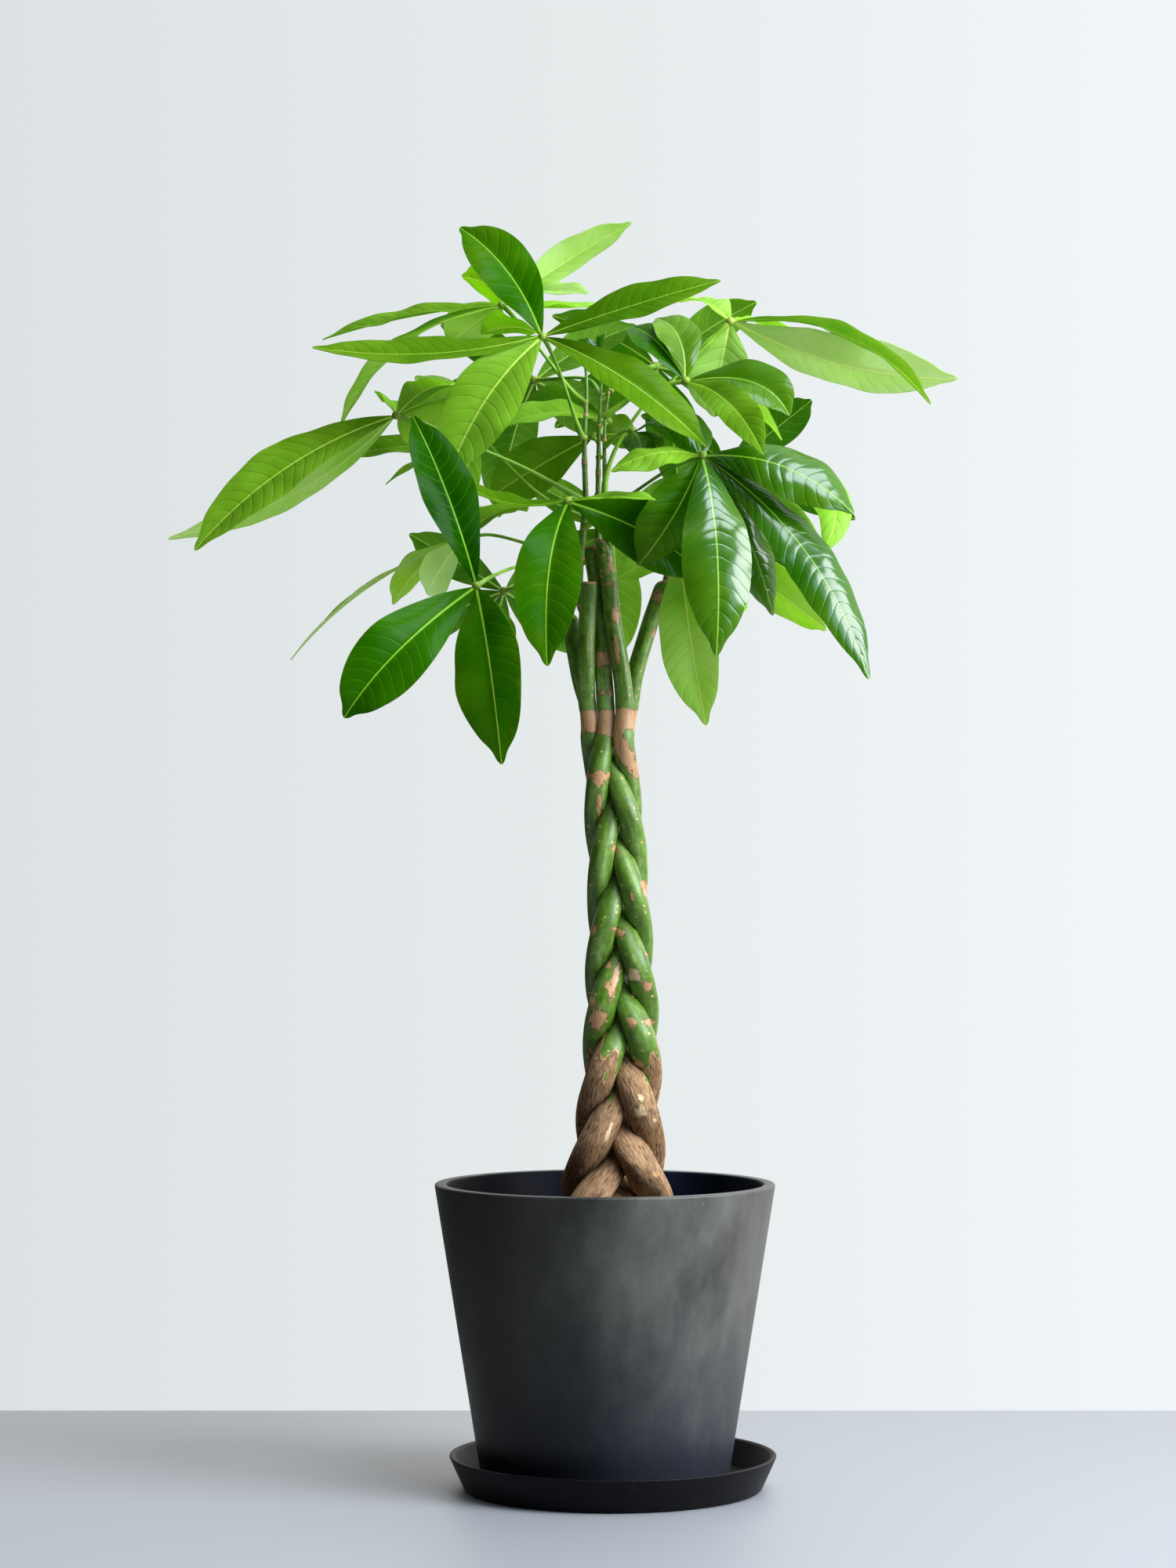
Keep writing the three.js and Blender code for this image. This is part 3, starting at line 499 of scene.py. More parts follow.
def put(tree, kind, inputs=(), **settings):
    """Adds a shader node, with its settings, and with values or other nodes on its inputs."""
    node = tree.nodes.new("ShaderNode" + kind)
    for key, value in settings.items():
        setattr(node, key, value)
    for key, value in dict(inputs).items():
        if isinstance(value, bpy.types.Node):
            value = next(out for out in value.outputs if out.enabled)
        if isinstance(value, bpy.types.NodeSocket):
            tree.links.new(value, node.inputs[key])
        else:
            node.inputs[key].default_value = value
    return node


def ramp(tree, value, *pairs):
    """A colour ramp over the value, from (position, grey or hex) pairs."""
    node = put(tree, "ValToRGB", {0: value})
    elements = node.color_ramp.elements
    while len(elements) < len(pairs):
        elements.new(0.5)
    for element, (position, colour) in zip(elements, pairs):
        element.position = position
        element.color = rgba(colour) if isinstance(colour, str) else (colour, colour, colour, 1.0)
    return node


def calc(tree, operation, *values, **settings):
    return put(tree, "Math", dict(enumerate(values)), operation=operation, **settings)


def muladd(tree, value, factor, added):
    return calc(tree, "MULTIPLY_ADD", value, factor, added)


def mix(tree, share, low, high, **settings):
    """A mix of two colours."""
    return put(tree, "Mix", {0: share, 6: low, 7: high}, data_type="RGBA", **settings).outputs[2]


def speckle(tree, place, scale, detail, roughness=0.5):
    return put(tree, "TexNoise", {"Vector": place, "Scale": scale, "Detail": detail, "Roughness": roughness})


def cells(tree, place, scale, **settings):
    return put(tree, "TexVoronoi", {"Vector": place, "Scale": scale}, **settings)


def spread(tree, value, start, end, low=0.0, high=1.0):
    """Carries the range from start to end over to the range from low to high."""
    return put(tree, "MapRange", {"Value": value, 1: start, 2: end, 3: low, 4: high})


def relief(tree, height, strength, distance):
    return put(tree, "Bump", {"Height": height, "Strength": strength, "Distance": distance})


def shade(colour, factor=1.0):
    return (*[factor * part for part in colour], 1)


def new_material(name):
    """A material, its empty node tree, and the object's own coordinates in the tree."""
    material = bpy.data.materials.new(name)
    material.use_nodes = True
    tree = material.node_tree
    tree.nodes.clear()
    return material, tree, put(tree, "TexCoord").outputs["Object"]


def surfaced(material, inputs):
    """Ends the material in one Principled shader."""
    tree = material.node_tree
    put(tree, "OutputMaterial", {"Surface": put(tree, "BsdfPrincipled", inputs)})
    return material


def fibre_clay(name, colour, wear):
    """Fibre-clay composite, cast and sanded: satin, cloudy and streaked, with a few pale scuffs.

    The clay is bluer and darker towards the foot. Wear is 0 to 1.
    """
    material, tree, place = new_material(name)
    streaks = put(tree, "Mapping", {"Vector": place, "Scale": (1, 1, 0.55)})
    cloud = speckle(tree, streaks, 15, 8, 0.62)
    blotch = ramp(tree, cloud, (0.33, 0.0), (0.68, 1.0))
    grain = speckle(tree, place, 420, 4, 0.6)
    tint = mix(tree, blotch, shade(colour, 0.9), shade(colour, 3.4))
    way = put(tree, "SeparateXYZ", {0: place}).outputs
    # Darker and bluer towards the foot
    towards_foot = spread(tree, muladd(tree, cloud, 0.12, way[2]), 0.11, 0.24, 1.0, 0.0)
    darker_foot = mix(tree, towards_foot, tint, rgba("#20242C"))
    # Painted light: the right side, towards the window, is painted lighter and the left side darker
    across = spread(tree, way[0], -0.15, 0.15)
    painted_side_light = ramp(tree, across, (0.13, 0.15), (0.45, 0.5), (0.72, 1.0), (0.92, 0.68))
    painted_light_clay = mix(tree, 1.0, darker_foot, painted_side_light, blend_type="MULTIPLY")
    sanded = mix(tree, calc(tree, "MULTIPLY", grain, 0.04 * wear), painted_light_clay, rgba("#77777A"))
    # Scuffs a few millimetres long, where the pot was knocked
    mask = ramp(tree, speckle(tree, place, 46, 3), (0.765, 0.0), (0.80, 1.0))
    final = mix(tree, calc(tree, "MULTIPLY", mask, 0.7 * wear), sanded, rgba("#9A8A74"))
    return surfaced(material, {
        "Base Color": final, "Roughness": spread(tree, blotch, 0, 1, 0.38, 0.55),
        "Normal": relief(tree, grain, 0.35, 0.0005), "Specular IOR Level": 0.25 * wear,
    })


def moulded_plastic(colour):
    """Injection-moulded polypropylene: even, satin, with a fine texture and a thin film of dust."""
    material, tree, place = new_material("Moulded polypropylene, near black")
    dust = speckle(tree, place, 35, 6, 0.7)
    film = ramp(tree, dust, (0.52, 0.0), (0.75, 0.04))
    grain = speckle(tree, place, 900, 2)
    return surfaced(material, {
        "Base Color": mix(tree, film, shade(colour), rgba("#6B6A68")), "Roughness": spread(tree, dust, 0, 1, 0.38, 0.6),
        "Normal": relief(tree, grain, 0.2, 0.0003), "Specular IOR Level": 0.12,
    })


def potting_soil():
    """Peat-based potting mix: dark, rough crumbs with some bark and white perlite."""
    material, tree, place = new_material("Peat potting mix")
    lumps = speckle(tree, place, 70, 8, 0.7)
    brown = ramp(tree, lumps, (0.3, "#17100B"), (0.55, "#33241A"), (0.8, "#5A412C"))
    perlite = cells(tree, place, 85).outputs
    speck = ramp(tree, perlite["Distance"], (0.10, 1.0), (0.15, 0.0))
    chosen = ramp(tree, perlite["Color"], (0.60, 0.0), (0.64, 1.0))
    white = calc(tree, "MULTIPLY", speck, chosen)
    return surfaced(material, {
        "Base Color": mix(tree, white, brown, rgba("#CFCABF")), "Roughness": 0.95,
        "Normal": relief(tree, cells(tree, place, 190), 0.9, 0.002),
    })


def cane_bark():
    """Living cane: smooth waxy green rind above, corky fissured bark below, tan and cream scars.

    The attributes bark, scar and pale hold how far each shows, and grain the cane's surface
    as if it grew straight.
    """
    material, tree, place = new_material("Living cane, rind and bark")
    bark, scar, pale, straight = (
        put(tree, "Attribute", attribute_name=name).outputs["Vector" if name == "grain" else "Fac"]
        for name in ("bark", "scar", "pale", "grain")
    )
    # Fibres about a millimetre wide and a centimetre long, along the cane
    long_way = put(tree, "Mapping", {"Vector": straight, "Scale": (1, 1, 0.19)})
    fibre = speckle(tree, long_way, 760, 5, 0.68)
    broad = speckle(tree, long_way, 120, 4, 0.55)
    fray = speckle(tree, place, 160, 6, 0.7)
    rind = ramp(tree, broad, (0.30, "#42600E"), (0.45, "#567A22"), (0.60, "#6E923C"), (0.75, "#A0B474"))
    streaks = mix(tree, 0.3, fibre, broad)
    brown = ramp(tree, streaks, (0.37, "#3A2817"), (0.43, "#6E5236"), (0.51, "#92704C"), (0.64, "#B0906A"))
    tan = ramp(tree, streaks, (0.37, "#865A36"), (0.45, "#AE8258"), (0.62, "#C69C70"))
    cream = ramp(tree, streaks, (0.35, "#B79F77"), (0.65, "#E6D2A6"))
    # The noise frays the edges between rind, bark and scars
    ragged = calc(tree, "SUBTRACT", fray, 0.5)
    woody = muladd(tree, ragged, 0.9, bark)
    woody_mask = ramp(tree, woody, (0.47, 0.0), (0.53, 1.0))
    scarred = muladd(tree, ragged, 1.9, scar)
    scar_mask = ramp(tree, scarred, (0.46, 0.0), (0.52, 1.0))
    # Corky dots one to three millimetres across, thinly strewn
    dots = cells(tree, straight, 170).outputs
    dot = ramp(tree, dots["Distance"], (0.14, 1.0), (0.22, 0.0))
    picked = ramp(tree, dots["Color"], (0.58, 0.0), (0.60, 1.0))
    # The rind is mottled, and turns tan where the bark begins
    mottled = mix(tree, 1.0, rind, spread(tree, fray, 0.35, 0.65, 0.62, 1.16), blend_type="MULTIPLY")
    fringe = ramp(tree, woody, (0.30, 0.0), (0.34, 1.0))
    barked = mix(tree, woody_mask, mix(tree, fringe, mottled, tan), brown)
    skin = mix(tree, calc(tree, "MULTIPLY", dot, picked), barked, rgba("#C3A070"))
    # A scar has a darker, cracked rim
    healed = mix(tree, scar_mask, skin, mix(tree, pale, tan, cream))
    rim = ramp(tree, scarred, (0.43, 0.0), (0.47, 0.75), (0.54, 0.6), (0.60, 0.0))
    depth = muladd(tree, woody_mask, 0.85, 0.15)
    raised = muladd(tree, scar_mask, 0.15, calc(tree, "MULTIPLY", fibre, depth))
    return surfaced(material, {
        "Base Color": mix(tree, rim, healed, rgba("#6E5230")), "Roughness": spread(tree, woody_mask, 0, 1, 0.38, 0.8),
        "Normal": relief(tree, raised, 0.9, 0.0014), "Specular IOR Level": 0.42,
    })


# The two faces of a leaflet: the greens, and those of the light that comes through, at the tones
# TONES; the ribs and side veins at RIB_TONES; how far side veins and net show; how much wax there
# is; and whether ribs stand up (1) or are sunken (-1).
TONES = (0.0, 0.23, 0.43, 0.67, 1.0)
RIB_TONES = (0.2, 0.45, 0.75)
UPPER = dict(
    name="Leaf cuticle, upper", vein_share=0.3, net_share=0.03, wax=1.0, rise=-1.0,
    green=("#0E4A00", "#347400", "#689414", "#9CD040", "#CAE49C"),
    glow=("#2C7A00", "#4A9400", "#84AE2C", "#BCE848", "#D8ECB0"),
    ribs=("#8CCC34", "#B8E058", "#E6F89A"), veins=("#5CA41C", "#5A8A18", "#BCE070"),
)
UNDER = dict(
    name="Leaf cuticle, underside", vein_share=0.4, net_share=0.05, wax=0.1, rise=1.0,
    green=("#3C7C10", "#5C9426", "#7EB234", "#ACD640", "#DAEEBC"),
    glow=("#4AA010", "#66B020", "#94C838", "#C0EC3C", "#E8F6C4"),
    ribs=("#A8D06C", "#D0EC88", "#F0FAC0"), veins=("#A8D06C", "#D0EC88", "#E4F4B4"),
)


def leaf_face(face, vein_spacing):
    """A live leaflet's cuticle: waxy and glossy above with sunken pale ribs, paler and duller below.

    The map "rib" runs across and along the blade. The map "blade" holds its tone as a share
    of TONE_FULL and its length of LENGTH_FULL, and "sheen" its gloss and its swelling.
    """
    material, tree, place = new_material(face["name"])
    rib, blade, sheen = (
        put(tree, "SeparateXYZ", {0: put(tree, "UVMap", uv_map=name)}).outputs for name in ("rib", "blade", "sheen")
    )
    along = rib[1]
    out = calc(tree, "ABSOLUTE", muladd(tree, rib[0], 2.0, -1.0))
    # Side veins leave the midrib every few millimetres and curve towards the tip
    stepped = calc(tree, "MULTIPLY", along, calc(tree, "MULTIPLY", blade[1], LENGTH_FULL * MM / vein_spacing))
    phase = muladd(tree, calc(tree, "POWER", out, 1.5), -1.5, stepped)
    bent = muladd(tree, speckle(tree, place, 45, 1), 0.5, phase)
    beat = calc(tree, "PINGPONG", bent, 0.5)
    vein = ramp(tree, beat, (0.02, 1.0), (0.07, 0.0))
    pillow = ramp(tree, beat, (0.0, 0.0), (0.07, 0.55), (0.2, 0.9), (0.45, 1.0))
    # The midrib narrows towards the tip
    arc = calc(tree, "MULTIPLY", calc(tree, "POWER", along, 1.15), math.pi)
    swell = calc(tree, "ADD", calc(tree, "SINE", arc), 0.04)
    offset = calc(tree, "MULTIPLY", out, swell)
    midrib = ramp(tree, calc(tree, "DIVIDE", offset, muladd(tree, along, -0.022, 0.042)), (0.6, 1.0), (1.0, 0.0))
    # A fine net between the veins, drawn at about a millimetre and a half
    net = ramp(tree, cells(tree, place, 620, feature="DISTANCE_TO_EDGE"), (0.0, 1.0), (0.08, 0.0))
    # Blades ripen from the root to the tip and from the midrib to the edges
    shift = muladd(tree, speckle(tree, place, 22, 4, 0.55), 0.3, -0.2)
    riper = muladd(tree, out, 0.03, muladd(tree, along, 0.08, shift))
    tone = calc(tree, "ADD", blade[0], riper, use_clamp=True)
    green, glow = (ramp(tree, tone, *zip(TONES, face[key])) for key in ("green", "glow"))
    rib_colour, vein_colour = (ramp(tree, tone, *zip(RIB_TONES, face[key])) for key in ("ribs", "veins"))
    faint = calc(tree, "MULTIPLY", vein, face["vein_share"])
    thin = calc(tree, "MAXIMUM", faint, calc(tree, "MULTIPLY", net, face["net_share"]))
    ribbed = mix(tree, midrib, mix(tree, thin, green, vein_colour), rib_colour)
    tint = mix(tree, ramp(tree, out, (0.97, 0.0), (1.0, 0.4)), ribbed, rgba("#6E7C2C"))
    # The flesh swells most between the veins of the old glossy blades
    puff = calc(tree, "MULTIPLY", pillow, muladd(tree, sheen[1], 0.9, 0.2))
    height = muladd(tree, muladd(tree, vein, 0.35, midrib), face["rise"], puff)
    flesh = relief(tree, height, 0.55, 0.0008)
    shader = put(tree, "BsdfPrincipled", {
        "Base Color": tint, "Roughness": 0.5, "Normal": flesh, "Specular IOR Level": 0.0,
        "Coat Weight": calc(tree, "MULTIPLY", sheen[0], face["wax"]), "Coat Roughness": 0.19, "Coat IOR": 1.8,
        "Coat Normal": relief(tree, height, 0.2, 0.0008),
    })
    # Light from behind comes through yellower, and palest along the ribs
    lit = mix(tree, midrib, mix(tree, thin, glow, vein_colour), rgba("#EEFA9C"))
    through = put(tree, "BsdfTranslucent", {"Color": lit, "Normal": flesh})
    put(tree, "OutputMaterial", {"Surface": put(tree, "MixShader", {0: 0.55, 1: shader, 2: through})})
    return material


def green_stalk():
    """A petiole: smooth, round and pale green, browner at its swollen base and at the hub."""
    material, tree, place = new_material("Green petiole")
    ends = put(tree, "Attribute", attribute_name="scar").outputs["Fac"]
    cloud = speckle(tree, place, 60, 5)
    green = ramp(tree, cloud, (0.3, "#5A9414"), (0.6, "#84B42A"), (0.8, "#A6C84A"))
    tint = mix(tree, calc(tree, "MULTIPLY", ends, 0.45), green, rgba("#8A8438"))
    return surfaced(material, {
        "Base Color": tint, "Roughness": 0.42, "Normal": relief(tree, cloud, 0.3, 0.0006), "IOR": 1.45,
    })


def painted_table(colour):
    """A painted table top: pale, even and softly satin."""
    material, tree, place = new_material("Painted table top")
    tint = mix(tree, speckle(tree, place, 3, 3), shade(colour, 0.97), shade(colour))
    return surfaced(material, {"Base Color": tint, "Roughness": 0.5})


# The plait, worked out as the frame's stems are


def between(t, low, high, slope_low, slope_high):
    """Smoothly from low to high, with the given slopes, at the share t of the way."""
    return ((2 * t**3 - 3 * t**2 + 1) * low + (t**3 - 2 * t**2 + t) * slope_low
            + (3 * t**2 - 2 * t**3) * high + (t**3 - t**2) * slope_high)


def table_at(rows, z):
    """A row of a table at height z, smoothly between its rows. Column 0 is the height."""
    top = len(rows) - 1
    i = 0
    while i < top - 1 and z > rows[i + 1][0]:
        i += 1
    before, low, high, after = (np.array(rows[k], float) for k in (max(i - 1, 0), i, i + 1, min(i + 2, top)))
    span = high[0] - low[0]
    slope_low = (high - before) / (high[0] - before[0]) * span
    slope_high = (after - low) / (after[0] - low[0]) * span
    return between(min(max((z - low[0]) / span, 0), 1), low, high, slope_low, slope_high)


def smooth(start, end, value):
    t = min(max((value - start) / (end - start), 0), 1)
    return t * t * (3 - 2 * t)


def barky(height):
    """How woody a cane is at a height: 1 below the bark's upper end, 0 above it."""
    return 1 - smooth(BARK_TOP - BARK_FADE[0], BARK_TOP + BARK_FADE[1], height)


def cane_at(stem, z):
    """The centre and radius of a stem's cane at height z."""
    _, middle, reach, radius = table_at(TRUNK, z)
    down = PLAIT_TOP - max(z, PLAIT_FREEZE)
    passed = STEPS_PER_MM * down + STEPS_GROWTH * down * abs(down)
    turn = math.pi + (stem["strand"] - passed) * 2 * math.pi / len(STEMS)
    loose = smooth(LOOSE_FROM, LOOSE_BY, z)
    _, loose_x, loose_y = table_at([(p[2], p[0], p[1]) for p in stem["cane"]], z)
    x = middle + reach * math.sin(turn)
    y = DEPTH_REACH * radius * math.sin(2 * turn)
    return x + (loose_x - x) * loose, y + (loose_y - y) * loose, radius


def pressed(stem, z, angles):
    """A cane's centre and radius, and its reach at each angle: flat where a neighbour presses."""
    x, y, radius = cane_at(stem, z)
    full = radius * (1 + FULLER * (1 - smooth(LOOSE_FROM, LOOSE_BY, z)))
    closeness = np.full(len(angles), full**-PRESS)
    for other in STEMS:
        if other is not stem and other["cane"][-1][2] + 6 >= z:
            there_x, there_y, _ = cane_at(other, z)
            towards = np.cos(angles - math.atan2(there_y - y, there_x - x))
            room = (math.hypot(there_x - x, there_y - y) - CANE_GAP) / 2 / np.maximum(towards, 0.05)
            closeness += np.where(towards > 0.05, np.maximum(room, 1) ** -PRESS, 0)
    return x, y, radius, closeness ** (-1 / PRESS)


def circle(sides):
    return np.arange(sides) / sides * 2 * math.pi


def unit(v):
    return v / np.linalg.norm(v)


def smooth_route(points, step):
    """Points along a smooth curve through the given ones, about a step apart, with shares."""
    points = [np.array(p, float) for p in points]
    padded = [2 * points[0] - points[1], *points, 2 * points[-1] - points[-2]]
    dense = []
    for p0, p1, p2, p3 in zip(padded, padded[1:], padded[2:], padded[3:]):
        dense += [between(t, p1, p2, (p2 - p0) / 2, (p3 - p1) / 2) for t in np.linspace(0, 1, 24, endpoint=False)]
    dense = np.array([*dense, points[-1]])
    run = np.concatenate([[0], np.cumsum(np.linalg.norm(np.diff(dense, axis=0), axis=1))])
    wanted = np.linspace(0, run[-1], max(4, round(run[-1] / step)) + 1)
    return np.stack([np.interp(wanted, run, dense[:, k]) for k in range(3)], axis=1), wanted / run[-1]


def tube_rings(route, shares, radii, sides):
    """Rings of points round a route, turned as little as possible from ring to ring."""
    tangents = [unit(way) for way in np.gradient(route, axis=0)]
    first = np.cross(tangents[0], (0, 0, 1) if abs(tangents[0][2]) < 0.9 else (1, 0, 0))
    angles = circle(sides)[:, None]
    rings = []
    for centre, tangent, share in zip(route, tangents, shares):
        first = unit(first - tangent * first.dot(tangent))
        radius = np.interp(share, np.linspace(0, 1, len(radii)), radii)
        rings.append(centre + radius * (np.cos(angles) * first + np.sin(angles) * np.cross(tangent, first)))
    return np.array(rings)


def tube_piece(name, rings):
    """A closed round body: a cylinder, cut into rings, whose rings take the given places."""
    count, sides = rings.shape[:2]
    clear_selection()
    bpy.ops.mesh.primitive_cylinder_add(vertices=sides, radius=1, depth=1, end_fill_type="NGON")
    obj = bpy.context.object
    obj.name = name
    bpy.ops.object.mode_set(mode="EDIT")
    select_edges(obj, lambda a, b: abs(a.z - b.z) > 0.5)
    bpy.ops.mesh.subdivide(number_cuts=count - 2)
    bpy.ops.object.mode_set(mode="OBJECT")
    x, y, z = coordinates(obj.data.vertices).T
    row = np.rint((z + 0.5) * (count - 1)).astype(int)
    column = np.rint(np.arctan2(y, x) / (2 * math.pi) * sides).astype(int) % sides
    place_vertices(obj, rings[row, column])
    return obj, row, column


def from_axis(point):
    """The way to a point from the pot's axis."""
    return point.xy - Vector((POT_X * MM, 0))


class MONEYTREE_OT_saucer(Operator):
    """Model the saucer: a turned dish with a flared wall and a rounded lip"""

    bl_idname = "moneytree.saucer"
    bl_label = "Saucer"

    def execute(self, context):
        base, wall, slack = SAUCER_BASE_RADIUS * MM, SAUCER_WALL * MM, SAUCER_SLACK * MM
        height = (saucer_high[2] - saucer_low[2]) * MM
        rim = (saucer_high[0] - saucer_low[0]) / 2 * MM - slack
        obj = tapered(128, base, rim, 0, height)
        hollow(obj, wall, height - wall, rim - wall, base - wall, (0, 0, wall))
        at_floor_edge = lambda p: abs(p.z - wall) < slack and p.xy.length > 0.9 * base
        round_edges(obj, lambda a, b: min(a.z, b.z) > height * 0.99, LIP_ROUNDING * MM, 5)
        round_edges(obj, lambda a, b: at_floor_edge(a) and at_floor_edge(b), FLOOR_ROUNDING * MM, 5)
        round_edges(obj, lambda a, b: max(a.z, b.z) < slack, SAUCER_FOOT_ROUNDING * MM, 4)
        bpy.ops.object.mode_set(mode="OBJECT")
        obj.data.materials.append(moulded_plastic(context.scene.moneytree_pot.saucer_colour))
        finish_piece(obj, ["saucer"])
        return {"FINISHED"}


class MONEYTREE_OT_pot(Operator):
    """Model the pot: a tapered tub with a flat rim and a drain hole"""

    bl_idname = "moneytree.pot"
    bl_label = "Pot"

    def execute(self, context):
        pot = context.scene.moneytree_pot
        foot, rim, radius = POT_FOOT * MM, POT_RIM * MM, RIM_RADIUS * MM
        obj = tapered(144, pot.base_radius, radius, foot, rim, POT_X * MM)
        bottom = pot.base_radius + (radius - pot.base_radius) * pot.floor / (rim - foot) - pot.wall
        hollow(obj, pot.wall, rim - foot - pot.floor, radius - pot.wall, bottom, (POT_X * MM, 0, foot + pot.floor))
        bpy.ops.mesh.inset(thickness=bottom - pot.drain_radius)
        bpy.ops.mesh.delete(type="FACE")
        select_faces(obj, lambda centre, normal: normal.z < -0.9 and centre.z < foot + MM)
        bpy.ops.mesh.inset(thickness=pot.base_radius - pot.drain_radius)
        bpy.ops.mesh.delete(type="FACE")
        near_hole = lambda p: from_axis(p).length < pot.drain_radius * 1.2
        select_edges(obj, lambda a, b: near_hole(a) and near_hole(b))
        bpy.ops.mesh.bridge_edge_loops()
        round_edges(obj, lambda a, b: min(a.z, b.z) > rim - MM, pot.rim_rounding, 5)
        at_foot = lambda p: p.z < foot + MM and from_axis(p).length > 0.9 * pot.base_radius
        round_edges(obj, lambda a, b: at_foot(a) and at_foot(b), POT_FOOT_ROUNDING * MM, 5)
        bpy.ops.object.mode_set(mode="OBJECT")
        obj.data.materials.append(fibre_clay("Fibre-clay composite, sanded", pot.colour, 1.0))
        # The inside gets the near-black colour, which paints the shade inside the pot
        obj.data.materials.append(fibre_clay("Fibre-clay composite, inside, painted shade", pot.shaded_inside_colour, 0.1))
        for face in obj.data.polygons:
            outwards = face.normal.xy.dot(from_axis(face.center).normalized())
            face.material_index = 1 if outwards < -0.6 and face.center.z > foot + pot.floor else 0
        finish_piece(obj, ["pot"])
        return {"FINISHED"}


class MONEYTREE_OT_soil(Operator):
    """Model the soil: a plug that fills the pot, with a crumbly mounded top"""

    bl_idname = "moneytree.soil"
    bl_label = "Soil"

    def execute(self, context):
        radius = (soil_high[0] - soil_low[0]) / 2
        level = soil_high[2] - MOUND - CLOD - CRUMB - SOIL_SLACK
        obj = tapered(96, SOIL_FOOT_RADIUS * MM, radius * MM, soil_low[2] * MM, level * MM, POT_X * MM)
        for _ in range(SOIL_RINGS - 1):
            select_faces(obj, lambda centre, normal: facing_up(centre, normal) and from_axis(centre).length < MM)
            bpy.ops.mesh.inset(thickness=radius / SOIL_RINGS * MM)
        bpy.ops.object.mode_set(mode="OBJECT")
        for vertex in obj.data.vertices:
            away = from_axis(vertex.co).length / (radius * MM)
            if vertex.co.z < (level - 0.1) * MM or away > 0.985:
                continue
            lump = noise.noise(vertex.co * 90) * CLOD + noise.noise(vertex.co * 330) * CRUMB
            vertex.co.z += (MOUND * (1 - smooth(0.3, 0.9, away)) + lump) * MM
        obj.data.materials.append(potting_soil())
        finish_piece(obj, ["soil"], angle=60)
        return {"FINISHED"}


def mark_cover(mark, x, z):
    """How far a mark covers the places x at height z, from 0 to 1."""
    mark_x, mark_z, wide, tall, lean = mark
    slope = math.radians(lean)
    across = (x - mark_x) * math.cos(slope) + (z - mark_z) * math.sin(slope)
    down = (z - mark_z) * math.cos(slope) - (x - mark_x) * math.sin(slope)
    return np.clip(1.5 - np.hypot(across / wide, down / tall) * 2, 0, 1)


